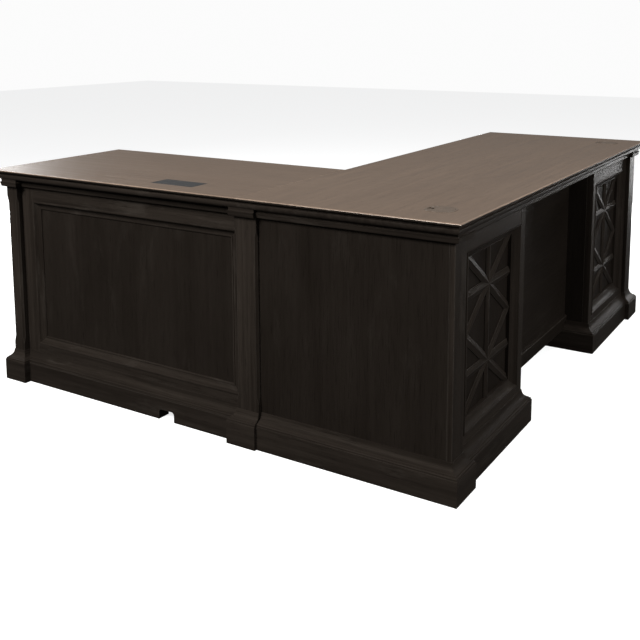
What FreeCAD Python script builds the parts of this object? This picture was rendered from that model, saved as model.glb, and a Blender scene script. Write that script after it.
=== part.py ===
import FreeCAD, Part
import math
import os

# L-shaped executive desk, in millimetres. +Z is up, the visitor's side faces -Y, and the return
# runs from the desk's -X end towards +Y. The origin is at the bottom centre of the bounding box.

V = FreeCAD.Vector

# Overall sizes
WIDTH = 1980
DEPTH = 1778
TOP_HEIGHT = 762
DESK_DEPTH = 705
RETURN_WIDTH = 628

# Tops: a nose at full size over a lip that is set in
TOP_THICKNESS = 31
NOSE_HEIGHT = 11
LIP_INSET = 12
TOP_OVERHANG_END = 37
TOP_OVERHANG_VISITOR = 30
TOP_OVERHANG_RETURN_END = 49
PLATE_POSITIONS = (-840, -660, -480)
PLATE_HALF_WIDTH = 25
PLATE_HALF_LENGTH = 50
PLATE_THICKNESS = 3
SCREW_OFFSET = 32
SCREW_HEAD_R = 5
SCREW_HEAD_HEIGHT = 2

# Boards
PANEL = 20
DESK_BODY_DEPTH = 618
POST_WIDTH = 75
POST_THICKNESS = 16
PEDESTAL_WIDTH = 498
CROWN_OUT = 18
CROWN_HEIGHT = 27

# Visitor panels with their lattice
FRAME_THICKNESS = 24
STILE = 39
OPENING_BOTTOM = 134
OPENING_TOP = 652
LATTICE_SETBACK = 16
BOARD_THICKNESS = 6
BOARD_LAP = 15
MOULDING_SIDE = 45
MOULDING_TOP = 24
LEDGE_HEIGHT = 36
MOULDING_PROUD = 2
MOULDING_FLAT = 0.2
BAR_WIDTH = 30
BAR_EDGE = 3

# Modesty panel
MODESTY_SETBACK = 139
MODESTY_BOTTOM = 82
MODESTY_RAIL_TOP = 137
MODESTY_THICKNESS = 18
MODESTY_RAIL_PROUD = 8
APRON_THICKNESS = 12

# Plinths
PLINTH_OUT = 28
RETURN_PLINTH_OUT = 25
PLINTH_FLAT = 74
PLINTH_TOP = 110

# Return
RETURN_PROUD = 12
RETURN_RECESS = 24
END_PANEL = 50
PILASTER_WIDTH = 80
RETURN_FRAME_THICKNESS = 22
RETURN_PANEL_SETBACK = 15
RETURN_MOULDING = 30
RETURN_MOULDING_FLAT = 8
RETURN_STILE_NEAR = 10
RETURN_STILE_FAR = 50
RETURN_OPENING_BOTTOM = 137
RETURN_OPENING_TOP = 656
CHAMFER = 7
CHAMFER_FOOT = 135
CHAMFER_HEAD = 671
CHAMFER_TAPER = 25
CABINET_WIDTH = 420
NOTCH_WIDTH = 62
NOTCH_HEIGHT = 34
NOTCH_ROUND = 10
FRONT_SETBACK = 25
SHELF_THICKNESS = 18
SHELF_HEIGHTS = (112, 400)

# Drawers and rails
FRONT_THICKNESS = 19.5
FRONT_GAP = 0.5
OVERLAY = 6
RAIL_THICKNESS = 12
RAIL_SETBACK = 4
RAIL_RISE = 20
RUNNER_THICKNESS = 5.6
RUNNER_MARGIN = 2
RAIL_GAP = 0.4
RAIL_HEIGHT = 36
DRAWER_WALL = 12
DRAWER_BASE = 6
DRAWER_RISE = 8
DRAWER_LENGTH = 450
PEDESTAL_STILE = 24
CENTRE_LENGTH = 400
CENTRE_RAIL_LENGTH = 440
CENTRE_RAIL_THICKNESS = 8
CENTRE_RAIL_BOTTOM = 652
CENTRE_BOX = (642, 702)
CENTRE_FRONT = (630, 718)
CENTRE_FRONT_GAP = 5

# Openings of the drawer pedestal from the bottom up, as (name, bottom, top, box height)
DRAWERS = (("file_drawer", 120, 396, 225), ("middle_drawer", 416, 554, 95), ("upper_drawer", 574, 712, 95))

# Pulls: a bar on two round posts
PULL_LENGTH = 160
PULL_REACH = 28
PULL_BAR_R = 5
PULL_POST_R = 4
PULL_POST_INSET = 18

# Door and its hinges
CABINET_STILE = 36
DOOR_BOTTOM = 130
DOOR_TOP = 690
DOOR_OVERLAY = 8
DOOR_PULL_INSET = 22
DOOR_PULL_HEIGHT = 510
HINGE_R = 3.5
HINGE_LENGTH = 60
HINGE_CLEARANCE = 1
HINGE_LEAF = 3
HINGE_BOTTOMS = (DOOR_BOTTOM + 50, DOOR_TOP - 110)

# Grommets and power outlet
GROMMET_X = 840
GROMMET_INSET_Y = 122
GROMMET_HOLE_R = 41
GROMMET_FIT = 0.2
GROMMET_FLANGE_R = 45
GROMMET_FLANGE_T = 2
GROMMET_REBATE = 0.5
GROMMET_SKIRT = 4
GROMMET_SEAT_R = 38.2
GROMMET_SEAT_DROP = 2.2
GROMMET_BORE_R = 35
CAP_R = 37.8
CAP_DROP = 2
CAP_THICKNESS = 3.5
CAP_SLOT_HALF_WIDTH = 10
CAP_SLOT_START = 20
OUTLET_CENTRE_Y = 125
OUTLET_INSET_X = 115
OUTLET_LENGTH = 170
OUTLET_WIDTH = 80
OUTLET_FLANGE_T = 3
OUTLET_WALL = 2.5
OUTLET_DEPTH = 62
LID_THICKNESS = 4
LID_GAP = 0.4
LID_STOP_WIDTH = 2
LID_STOP_HEIGHT = 2.6
PIN_R = 1.2
PIN_HOLE_R = 1.3
PIN_REACH = 1.6
PIN_END_GAP = 0.2
MODULE_HEIGHT = 24
FACEPLATE_HALF_WIDTH = 17
FACEPLATE_PROUD = 1.5
FACEPLATES = ((-48, 18), (-6, 18), (40, 20))

# Places that follow from the sizes
LEFT = -WIDTH / 2
RIGHT = WIDTH / 2
VISITOR = -DEPTH / 2
RETURN_END = DEPTH / 2
TOP_UNDER = TOP_HEIGHT - TOP_THICKNESS
CROWN_BOTTOM = TOP_UNDER - CROWN_HEIGHT
USER_EDGE = VISITOR + DESK_DEPTH
RETURN_USER_EDGE = LEFT + RETURN_WIDTH
SIDE = WIDTH / 2 - TOP_OVERHANG_END
POST_FRONT = VISITOR + TOP_OVERHANG_VISITOR
BODY_FRONT = POST_FRONT + POST_THICKNESS
BODY_BACK = POST_FRONT + DESK_BODY_DEPTH
POST_INNER = SIDE - POST_WIDTH
KNEE = POST_INNER - PEDESTAL_WIDTH
FRAME_BACK = BODY_FRONT + FRAME_THICKNESS
LATTICE_FRONT = BODY_FRONT + LATTICE_SETBACK
MODESTY_FRONT = VISITOR + MODESTY_SETBACK
PROUD_FACE = -SIDE - RETURN_PROUD
RECESS_FACE = PROUD_FACE + RETURN_RECESS
RETURN_INNER = RECESS_FACE + RETURN_FRAME_THICKNESS
PANEL_FACE = RECESS_FACE + RETURN_PANEL_SETBACK
END_OUTER = RETURN_END - TOP_OVERHANG_RETURN_END
END_INNER = END_OUTER - END_PANEL
PILASTER_END = BODY_BACK + PILASTER_WIDTH
CABINET_START = END_INNER - CABINET_WIDTH
RETURN_FACE = RETURN_USER_EDGE - FRONT_SETBACK - FRONT_THICKNESS - FRONT_GAP
DOOR_START = CABINET_START + CABINET_STILE
DOOR_END = END_INNER - CABINET_STILE
DRAWER_X0 = KNEE + PANEL + PEDESTAL_STILE
DRAWER_X1 = SIDE - PANEL - PEDESTAL_STILE
DRAWER_FRONT_Y = BODY_BACK + FRONT_GAP
OUTLET_X = LEFT + OUTLET_INSET_X
GROMMET_Y = VISITOR + GROMMET_INSET_Y
HOUSING_HALF_WIDTH = OUTLET_WIDTH / 2 - OUTLET_FLANGE_T
HOUSING_HALF_LENGTH = OUTLET_LENGTH / 2 - OUTLET_FLANGE_T

# Height and projection of each step of the mouldings, from the bottom up
PLINTH_STEPS = ((0, 1), (PLINTH_FLAT, 1), (PLINTH_FLAT + 6, 0.8), (PLINTH_FLAT + 9, 0.7),
                (PLINTH_FLAT + 13, 0.42), (PLINTH_FLAT + 22, 0.2), (PLINTH_TOP, 0.06))
CROWN_STEPS = ((CROWN_BOTTOM, 0.62), (CROWN_BOTTOM + 3, 0.7), (CROWN_BOTTOM + 18, 0.92), (TOP_UNDER, 1))


def save(name, shape):
    shape.removeSplitter().exportStep(f"parts/{name}.step")


def box(x0, y0, z0, x1, y1, z1):
    low = V(min(x0, x1), min(y0, y1), min(z0, z1))
    return Part.makeBox(abs(x1 - x0), abs(y1 - y0), abs(z1 - z0), low)


def tube(radius, height, x, y, z, axis=V(0, 0, 1)):
    return Part.makeCylinder(radius, height, V(x, y, z), axis)


def closed(points):
    return Part.makePolygon(points + points[:1])


def prism(points, direction):
    return Part.Face(closed([V(*p) for p in points])).extrude(V(*direction))


def mirrored(shape):
    return shape.mirror(V(0, 0, 0), V(1, 0, 0))


def joined(shapes):
    solid = shapes[0]
    for shape in shapes[1:]:
        solid = solid.fuse(shape)
    return solid


def wrapped(x0, y0, x1, y1, sides, out, steps):
    """A moulding round a block: each step gives a height and a share of out, on the named sides."""
    rings = []
    for z, share in steps:
        reach = {side: (out * share if side in sides else 0) for side in "LRFB"}
        left, right = x0 - reach["L"], x1 + reach["R"]
        front, back = y0 - reach["F"], y1 + reach["B"]
        rings.append(closed([V(left, front, z), V(right, front, z), V(right, back, z), V(left, back, z)]))
    return joined([Part.makeLoft(list(pair), True, True) for pair in zip(rings, rings[1:])])


def slab(nose, lip):
    upper = prism([(x, y, TOP_HEIGHT - NOSE_HEIGHT) for x, y in nose], (0, 0, NOSE_HEIGHT))
    lower = prism([(x, y, TOP_UNDER) for x, y in lip], (0, 0, TOP_THICKNESS - NOSE_HEIGHT))
    return upper.fuse(lower)


def desk_top():
    """The lip stops at the user's edge, and runs on to the seam where the return joins."""
    nose = [(LEFT, VISITOR), (RIGHT, VISITOR), (RIGHT, USER_EDGE), (LEFT, USER_EDGE)]
    inner = RETURN_USER_EDGE - LIP_INSET
    lip = [(LEFT + LIP_INSET, VISITOR + LIP_INSET), (RIGHT - LIP_INSET, VISITOR + LIP_INSET),
           (RIGHT - LIP_INSET, USER_EDGE - LIP_INSET), (inner, USER_EDGE - LIP_INSET),
           (inner, USER_EDGE), (LEFT + LIP_INSET, USER_EDGE)]
    solid = slab(nose, lip)
    rebate_r = GROMMET_FLANGE_R + GROMMET_FIT
    for x in (-GROMMET_X, GROMMET_X):
        solid = solid.cut(tube(GROMMET_HOLE_R, TOP_THICKNESS, x, GROMMET_Y, TOP_UNDER))
        solid = solid.cut(tube(rebate_r, GROMMET_REBATE, x, GROMMET_Y, TOP_HEIGHT - GROMMET_REBATE))
    return solid


def outlet_box(half_width, half_length, bottom, top):
    return box(OUTLET_X - half_width, OUTLET_CENTRE_Y - half_length, bottom,
               OUTLET_X + half_width, OUTLET_CENTRE_Y + half_length, top)


def outlet_flange():
    return outlet_box(OUTLET_WIDTH / 2, OUTLET_LENGTH / 2, TOP_HEIGHT - OUTLET_FLANGE_T, TOP_HEIGHT)


def return_top():
    inner = RETURN_USER_EDGE - LIP_INSET
    nose = [(LEFT, USER_EDGE), (RETURN_USER_EDGE, USER_EDGE), (RETURN_USER_EDGE, RETURN_END),
            (LEFT, RETURN_END)]
    lip = [(LEFT + LIP_INSET, USER_EDGE), (inner, USER_EDGE), (inner, RETURN_END - LIP_INSET),
           (LEFT + LIP_INSET, RETURN_END - LIP_INSET)]
    shaft = outlet_box(HOUSING_HALF_WIDTH, HOUSING_HALF_LENGTH, TOP_UNDER, TOP_HEIGHT)
    return slab(nose, lip).cut(outlet_flange()).cut(shaft)


def top_joining_plates():
    """Flat plates under the seam, each with two screw heads."""
    plates = []
    for x in PLATE_POSITIONS:
        plate = box(x - PLATE_HALF_WIDTH, USER_EDGE - PLATE_HALF_LENGTH, TOP_UNDER - PLATE_THICKNESS,
                    x + PLATE_HALF_WIDTH, USER_EDGE + PLATE_HALF_LENGTH, TOP_UNDER)
        bottom = TOP_UNDER - PLATE_THICKNESS - SCREW_HEAD_HEIGHT
        heads = [tube(SCREW_HEAD_R, SCREW_HEAD_HEIGHT, x, USER_EDGE + side * SCREW_OFFSET, bottom)
                 for side in (-1, 1)]
        plates.append(joined([plate] + heads))
    return Part.makeCompound(plates)


def outlet_parts():
    bottom = TOP_HEIGHT - OUTLET_DEPTH
    inner_w = HOUSING_HALF_WIDTH - OUTLET_WALL
    inner_l = HOUSING_HALF_LENGTH - OUTLET_WALL
    housing = outlet_flange().fuse(outlet_box(HOUSING_HALF_WIDTH, HOUSING_HALF_LENGTH, bottom, TOP_HEIGHT))
    housing = housing.cut(outlet_box(inner_w, inner_l, bottom + OUTLET_WALL, TOP_HEIGHT))
    stop_x = OUTLET_X + inner_w
    stop_top = TOP_HEIGHT - LID_THICKNESS - LID_GAP
    stop = box(stop_x - LID_STOP_WIDTH, OUTLET_CENTRE_Y - inner_l, stop_top - LID_STOP_HEIGHT,
               stop_x, OUTLET_CENTRE_Y + inner_l, stop_top)
    axis_x = OUTLET_X - inner_w + LID_GAP + LID_THICKNESS / 2
    axis_z = TOP_HEIGHT - LID_THICKNESS / 2
    along = V(0, 1, 0)
    pin_start = OUTLET_CENTRE_Y - inner_l - PIN_REACH
    pin_length = 2 * (inner_l + PIN_REACH)
    pin_hole = tube(PIN_HOLE_R, pin_length + 2 * PIN_END_GAP, axis_x, pin_start - PIN_END_GAP, axis_z, along)
    housing = housing.fuse(stop).cut(pin_hole)
    lid_start = OUTLET_CENTRE_Y - inner_l + LID_GAP
    lid_length = 2 * (inner_l - LID_GAP)
    leaf = box(axis_x, lid_start, TOP_HEIGHT - LID_THICKNESS,
               stop_x - LID_GAP, lid_start + lid_length, TOP_HEIGHT)
    barrel = tube(LID_THICKNESS / 2, lid_length, axis_x, lid_start, axis_z, along)
    pin = tube(PIN_R, pin_length, axis_x, pin_start, axis_z, along)
    module_top = bottom + MODULE_HEIGHT
    module = outlet_box(inner_w, inner_l, bottom + OUTLET_WALL, module_top)
    for step, half_length in FACEPLATES:
        plate = outlet_box(FACEPLATE_HALF_WIDTH, half_length, module_top, module_top + FACEPLATE_PROUD)
        module = module.fuse(plate.translate(V(0, step, 0)))
    return housing, joined([leaf, barrel, pin]), module


def grommet_liner(x):
    sleeve_bottom = TOP_UNDER - GROMMET_SKIRT
    flange_bottom = TOP_HEIGHT - GROMMET_REBATE
    top = flange_bottom + GROMMET_FLANGE_T
    seat_bottom = TOP_HEIGHT - GROMMET_SEAT_DROP
    sleeve = tube(GROMMET_HOLE_R - GROMMET_FIT, top - sleeve_bottom, x, GROMMET_Y, sleeve_bottom)
    flange = tube(GROMMET_FLANGE_R, GROMMET_FLANGE_T, x, GROMMET_Y, flange_bottom)
    seat = tube(GROMMET_SEAT_R, top - seat_bottom, x, GROMMET_Y, seat_bottom)
    bore = tube(GROMMET_BORE_R, top - sleeve_bottom, x, GROMMET_Y, sleeve_bottom)
    return sleeve.fuse(flange).cut(seat).cut(bore)


def grommet_cap(x):
    """A disc with a slot at its edge, towards the user, that cables come out of."""
    bottom = TOP_HEIGHT - CAP_DROP
    disc = tube(CAP_R, CAP_THICKNESS, x, GROMMET_Y, bottom)
    slot = box(x - CAP_SLOT_HALF_WIDTH, GROMMET_Y + CAP_SLOT_START, bottom,
               x + CAP_SLOT_HALF_WIDTH, GROMMET_Y + GROMMET_HOLE_R, bottom + CAP_THICKNESS)
    return disc.cut(slot)


def corner_post():
    return box(-SIDE, POST_FRONT, 0, -POST_INNER, BODY_FRONT, TOP_UNDER)


def desk_side():
    return box(-SIDE, BODY_FRONT, 0, -SIDE + PANEL, BODY_BACK, TOP_UNDER)


def visitor_opening(y0, y1):
    return box(-POST_INNER + STILE, y0, OPENING_BOTTOM, -KNEE - STILE, y1, OPENING_TOP)


def visitor_frame():
    frame = box(-SIDE + PANEL, BODY_FRONT, 0, -KNEE, FRAME_BACK, TOP_UNDER)
    return frame.cut(visitor_opening(BODY_FRONT, FRAME_BACK))


def visitor_board():
    return box(-POST_INNER + STILE - BOARD_LAP, FRAME_BACK, OPENING_BOTTOM - BOARD_LAP,
               -KNEE - STILE + BOARD_LAP, FRAME_BACK + BOARD_THICKNESS, OPENING_TOP + BOARD_LAP)


def moulding_corners(share):
    """Lowest and highest x and z of the visitor moulding's inner edge, part of the way in."""
    return (-POST_INNER + STILE + share * MOULDING_SIDE, OPENING_BOTTOM + share * LEDGE_HEIGHT,
            -KNEE - STILE - share * MOULDING_SIDE, OPENING_TOP - share * MOULDING_TOP)


def visitor_moulding():
    """Slopes from a flat lip at the frame's face down to the lattice."""
    front = BODY_FRONT - MOULDING_PROUD
    rings = []
    for y, share in ((front, MOULDING_FLAT), (LATTICE_FRONT, 1)):
        x0, z0, x1, z1 = moulding_corners(share)
        rings.append(closed([V(x0, y, z0), V(x1, y, z0), V(x1, y, z1), V(x0, y, z1)]))
    x0, z0, x1, z1 = moulding_corners(1)
    window = box(x0, LATTICE_FRONT, z0, x1, FRAME_BACK, z1)
    return visitor_opening(front, FRAME_BACK).cut(Part.makeLoft(rings, True, True)).cut(window)


def lattice_bar(length, angle, x, z):
    """One bar with a ridge along it, turned about the star's centre in the panel's plane."""
    half = BAR_WIDTH / 2
    edge = FRAME_BACK - BAR_EDGE
    section = [(-length, FRAME_BACK, -half), (-length, FRAME_BACK, half), (-length, edge, half),
               (-length, LATTICE_FRONT, 0), (-length, edge, -half)]
    bar = prism(section, (2 * length, 0, 0))
    bar.rotate(V(0, 0, 0), V(0, -1, 0), angle)
    return bar.translate(V(x, 0, z))


def lattice():
    """Two stars, one above the other. Each has a level bar, an upright one and two diagonals."""
    x0, z0, x1, z1 = moulding_corners(1)
    cell = (z1 - z0) / 2
    slant = math.degrees(math.atan2(cell, x1 - x0))
    stars = []
    for row in range(2):
        bottom = z0 + row * cell
        middle = (x0 + x1) / 2
        bars = [lattice_bar(x1 - x0, angle, middle, bottom + cell / 2) for angle in (0, 90, slant, -slant)]
        stars.append(joined(bars).common(box(x0, LATTICE_FRONT, bottom, x1, FRAME_BACK, bottom + cell)))
    return joined(stars)


def knee_side():
    return box(-KNEE - PANEL, FRAME_BACK, 0, -KNEE, BODY_BACK, TOP_UNDER)


def desk_plinth(sides):
    body = wrapped(-SIDE, BODY_FRONT, -KNEE, BODY_BACK, sides, PLINTH_OUT, PLINTH_STEPS)
    pad = wrapped(-SIDE, POST_FRONT, -POST_INNER, BODY_FRONT, "LFR", PLINTH_OUT, PLINTH_STEPS)
    core = box(-SIDE, BODY_FRONT, 0, -KNEE, BODY_BACK, PLINTH_TOP)
    post = box(-SIDE, POST_FRONT, 0, -POST_INNER, BODY_FRONT, PLINTH_TOP)
    return body.fuse(pad).cut(core).cut(post)


def desk_crown():
    run = wrapped(-SIDE, POST_FRONT, -SIDE + PANEL, BODY_BACK, "L", CROWN_OUT, CROWN_STEPS)
    cap = wrapped(-SIDE, POST_FRONT, -POST_INNER, BODY_FRONT, "LFR", CROWN_OUT, CROWN_STEPS)
    core = box(-SIDE, BODY_FRONT, CROWN_BOTTOM, -KNEE, BODY_BACK, TOP_UNDER)
    post = box(-SIDE, POST_FRONT, CROWN_BOTTOM, -POST_INNER, BODY_FRONT, TOP_UNDER)
    return run.fuse(cap).cut(core).cut(post)


def modesty_panel():
    """Between the pedestals. Its bottom corners are notched to clear the plinths."""
    back = MODESTY_FRONT + MODESTY_THICKNESS
    front = MODESTY_FRONT - MODESTY_RAIL_PROUD
    panel = box(-KNEE, MODESTY_FRONT, MODESTY_BOTTOM, KNEE, back, TOP_UNDER)
    section = [(-KNEE, MODESTY_FRONT, MODESTY_BOTTOM), (-KNEE, front, MODESTY_BOTTOM),
               (-KNEE, front, MODESTY_RAIL_TOP - MODESTY_RAIL_PROUD),
               (-KNEE, MODESTY_FRONT, MODESTY_RAIL_TOP)]
    panel = panel.fuse(prism(section, (2 * KNEE, 0, 0)))
    for x0 in (-KNEE, KNEE - PLINTH_OUT):
        panel = panel.cut(box(x0, front, MODESTY_BOTTOM, x0 + PLINTH_OUT, back, PLINTH_TOP))
    return panel


def visitor_apron():
    reach = POST_INNER - CROWN_OUT
    return box(-reach, BODY_FRONT - APRON_THICKNESS, CROWN_BOTTOM, reach, BODY_FRONT, TOP_UNDER)


def corner_back_panel():
    return box(-SIDE + PANEL, BODY_BACK - PANEL, 0, -KNEE - PANEL, BODY_BACK, TOP_UNDER)


def pedestal_face_frame():
    frame = box(KNEE + PANEL, BODY_BACK - PANEL, 0, SIDE - PANEL, BODY_BACK, TOP_UNDER)
    for name, bottom, top, height in DRAWERS:
        frame = frame.cut(box(DRAWER_X0, BODY_BACK - PANEL, bottom, DRAWER_X1, BODY_BACK, top))
    return frame


def open_box(x0, y0, z0, x1, y1, z1):
    inside = box(x0 + DRAWER_WALL, y0 + DRAWER_WALL, z0 + DRAWER_BASE, x1 - DRAWER_WALL, y1 - DRAWER_WALL, z1)
    return box(x0, y0, z0, x1, y1, z1).cut(inside)


def bar_pull(base, upright, outward):
    """base is the middle of the pull on the front's surface, outward the axis it stands out along."""
    along = V(0, 0, 1) if upright else outward.cross(V(0, 0, 1))
    start = base - along * (PULL_LENGTH / 2) + outward * PULL_REACH
    pieces = [Part.makeCylinder(PULL_BAR_R, PULL_LENGTH, start, along)]
    for side in (-1, 1):
        foot = base + along * (side * (PULL_LENGTH / 2 - PULL_POST_INSET))
        pieces.append(Part.makeCylinder(PULL_POST_R, PULL_REACH, foot, outward))
    return joined(pieces)


def runner_pair(outer_x0, outer_x1, y0, y1, rail_bottom):
    bottom = rail_bottom + RUNNER_MARGIN
    top = rail_bottom + RAIL_HEIGHT - RUNNER_MARGIN
    left = box(outer_x0, y0, bottom, outer_x0 + RUNNER_THICKNESS, y1 - RAIL_SETBACK, top)
    right = box(outer_x1 - RUNNER_THICKNESS, y0, bottom, outer_x1, y1 - RAIL_SETBACK, top)
    return Part.makeCompound([left, right])


def pedestal_drawers():
    """Saves the three drawers' pieces and returns their fixed rails."""
    rails = []
    for name, bottom, top, height in DRAWERS:
        rail_bottom = bottom + RAIL_RISE
        inner0 = DRAWER_X0 + RAIL_SETBACK
        inner1 = DRAWER_X1 - RAIL_SETBACK
        for x0, x1 in ((inner0 - RAIL_THICKNESS, inner0), (inner1, inner1 + RAIL_THICKNESS)):
            rails.append(box(x0, FRAME_BACK + BOARD_THICKNESS, rail_bottom,
                             x1, BODY_BACK - PANEL, rail_bottom + RAIL_HEIGHT))
        runner0 = inner0 + RAIL_GAP
        runner1 = inner1 - RAIL_GAP
        y0 = DRAWER_FRONT_Y - DRAWER_LENGTH
        base = bottom + DRAWER_RISE
        save(f"{name}_box", open_box(runner0 + RUNNER_THICKNESS, y0, base,
                                     runner1 - RUNNER_THICKNESS, DRAWER_FRONT_Y, base + height))
        save(f"{name}_runners", runner_pair(runner0, runner1, y0, DRAWER_FRONT_Y, rail_bottom))
        save(f"{name}_front", box(DRAWER_X0 - OVERLAY, DRAWER_FRONT_Y, bottom - OVERLAY,
                                  DRAWER_X1 + OVERLAY, DRAWER_FRONT_Y + FRONT_THICKNESS, top + OVERLAY))
        base = V((DRAWER_X0 + DRAWER_X1) / 2, DRAWER_FRONT_Y + FRONT_THICKNESS, (bottom + top) / 2)
        save(f"{name}_pull", bar_pull(base, False, V(0, 1, 0)))
    return rails


def centre_drawer():
    """Saves the centre drawer's pieces and returns its fixed rails."""
    inner = KNEE - CENTRE_RAIL_THICKNESS
    rails = [box(side * inner, DRAWER_FRONT_Y - CENTRE_RAIL_LENGTH, CENTRE_RAIL_BOTTOM,
                 side * KNEE, BODY_BACK - RAIL_SETBACK, CENTRE_RAIL_BOTTOM + RAIL_HEIGHT)
             for side in (-1, 1)]
    runner = inner - RAIL_GAP
    half = runner - RUNNER_THICKNESS
    y0 = DRAWER_FRONT_Y - CENTRE_LENGTH
    front = KNEE - CENTRE_FRONT_GAP
    save("centre_drawer_runners", runner_pair(-runner, runner, y0, DRAWER_FRONT_Y, CENTRE_RAIL_BOTTOM))
    save("centre_drawer_box", open_box(-half, y0, CENTRE_BOX[0], half, DRAWER_FRONT_Y, CENTRE_BOX[1]))
    save("centre_drawer_front", box(-front, DRAWER_FRONT_Y, CENTRE_FRONT[0],
                                    front, DRAWER_FRONT_Y + FRONT_THICKNESS, CENTRE_FRONT[1]))
    return rails


def stop_chamfer(y, side):
    """Takes the corner off a proud board's edge at y. The chamfer runs out at both ends."""
    outward = V(-1, side, 0).normalize()
    across = V(side, 1, 0).normalize() * CHAMFER
    depth = CHAMFER / math.sqrt(2)
    corner = V(PROUD_FACE, y, 0) - across
    profile = ((1, CHAMFER_FOOT), (-depth, CHAMFER_FOOT + CHAMFER_TAPER),
               (-depth, CHAMFER_HEAD - CHAMFER_TAPER), (1, CHAMFER_HEAD))
    points = [corner + outward * distance + V(0, 0, z) for distance, z in profile]
    return Part.Face(closed(points)).extrude(across * 2)


def return_end_panel():
    panel = box(PROUD_FACE, END_INNER, 0, RETURN_FACE, END_OUTER, TOP_UNDER)
    return panel.cut(stop_chamfer(END_INNER, -1)).cut(stop_chamfer(END_OUTER, 1))


def return_pilaster():
    board = box(PROUD_FACE, BODY_BACK, 0, RECESS_FACE, PILASTER_END, TOP_UNDER)
    return board.cut(stop_chamfer(BODY_BACK, -1)).cut(stop_chamfer(PILASTER_END, 1))


def return_window(x0, x1):
    return box(x0, PILASTER_END + RETURN_STILE_NEAR, RETURN_OPENING_BOTTOM,
               x1, END_INNER - RETURN_STILE_FAR, RETURN_OPENING_TOP)


def cord_notch(x0, x1):
    half = NOTCH_WIDTH / 2
    inner = half - NOTCH_ROUND
    straight = NOTCH_HEIGHT - NOTCH_ROUND
    square = box(x0, OUTLET_CENTRE_Y - half, 0, x1, OUTLET_CENTRE_Y + half, straight)
    arch = box(x0, OUTLET_CENTRE_Y - inner, 0, x1, OUTLET_CENTRE_Y + inner, NOTCH_HEIGHT)
    rounds = [tube(NOTCH_ROUND, x1 - x0, x0, OUTLET_CENTRE_Y + side * inner, straight, V(1, 0, 0))
              for side in (-1, 1)]
    return joined([square, arch] + rounds)


def return_back_frame():
    frame = box(RECESS_FACE, BODY_BACK, 0, RETURN_INNER, END_INNER, TOP_UNDER)
    return frame.cut(return_window(RECESS_FACE, RETURN_INNER)).cut(cord_notch(RECESS_FACE, RETURN_INNER))


def return_back_board():
    return return_window(PANEL_FACE, PANEL_FACE + BOARD_THICKNESS)


def return_back_moulding():
    front = RECESS_FACE - MOULDING_PROUD
    rings = []
    for x, inset in ((front, RETURN_MOULDING_FLAT), (PANEL_FACE, RETURN_MOULDING)):
        y0 = PILASTER_END + RETURN_STILE_NEAR + inset
        y1 = END_INNER - RETURN_STILE_FAR - inset
        z0 = RETURN_OPENING_BOTTOM + inset
        z1 = RETURN_OPENING_TOP - inset
        rings.append(closed([V(x, y0, z0), V(x, y1, z0), V(x, y1, z1), V(x, y0, z1)]))
    return return_window(front, PANEL_FACE).cut(Part.makeLoft(rings, True, True))


def return_wrap(blocks, out, steps, bottom, top):
    """One moulding round several blocks, with the blocks themselves left out."""
    solid = joined([wrapped(*block, sides, out, steps) for sides, block in blocks])
    for sides, (x0, y0, x1, y1) in blocks:
        solid = solid.cut(box(x0, y0, bottom, x1, y1, top))
    return solid


RETURN_BACK_BLOCKS = (("LB", (PROUD_FACE, BODY_BACK, RETURN_INNER, PILASTER_END)),
                      ("L", (RECESS_FACE, BODY_BACK, RETURN_INNER, END_OUTER)),
                      ("LFB", (PROUD_FACE, END_INNER, RETURN_INNER, END_OUTER)))


def return_plinth():
    """Runs along the back, round the pilaster, and round the end panel and the cabinet."""
    cabinet = ("FRB", (RETURN_INNER, CABINET_START, RETURN_FACE, END_OUTER))
    solid = return_wrap(RETURN_BACK_BLOCKS + (cabinet,), RETURN_PLINTH_OUT, PLINTH_STEPS, 0, PLINTH_TOP)
    return solid.cut(cord_notch(PROUD_FACE - RETURN_PLINTH_OUT, RECESS_FACE))


def return_crown():
    end = ("B", (RETURN_INNER, END_INNER, RETURN_FACE, END_OUTER))
    return return_wrap(RETURN_BACK_BLOCKS + (end,), CROWN_OUT, CROWN_STEPS, CROWN_BOTTOM, TOP_UNDER)


def return_face_frame():
    back = RETURN_FACE - PANEL
    rail = box(back, BODY_BACK, DOOR_TOP, RETURN_FACE, END_INNER, TOP_UNDER)
    frame = box(back, CABINET_START, 0, RETURN_FACE, END_INNER, TOP_UNDER)
    return rail.fuse(frame).cut(box(back, DOOR_START, DOOR_BOTTOM, RETURN_FACE, DOOR_END, DOOR_TOP))


def return_partition():
    return box(RETURN_INNER, CABINET_START, 0, RETURN_FACE - PANEL, CABINET_START + PANEL, TOP_UNDER)


def return_shelves():
    boards = [box(RETURN_INNER, CABINET_START + PANEL, z, RETURN_FACE - PANEL, END_INNER, z + SHELF_THICKNESS)
              for z in SHELF_HEIGHTS]
    return Part.makeCompound(boards)


def cabinet_door():
    face = RETURN_FACE + FRONT_GAP
    return box(face, DOOR_START - DOOR_OVERLAY, DOOR_BOTTOM - DOOR_OVERLAY,
               face + FRONT_THICKNESS, DOOR_END + DOOR_OVERLAY, DOOR_TOP + DOOR_OVERLAY)


def cabinet_door_pull():
    base = V(RETURN_FACE + FRONT_GAP + FRONT_THICKNESS, DOOR_START + DOOR_PULL_INSET, DOOR_PULL_HEIGHT)
    return bar_pull(base, True, V(1, 0, 0))


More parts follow.
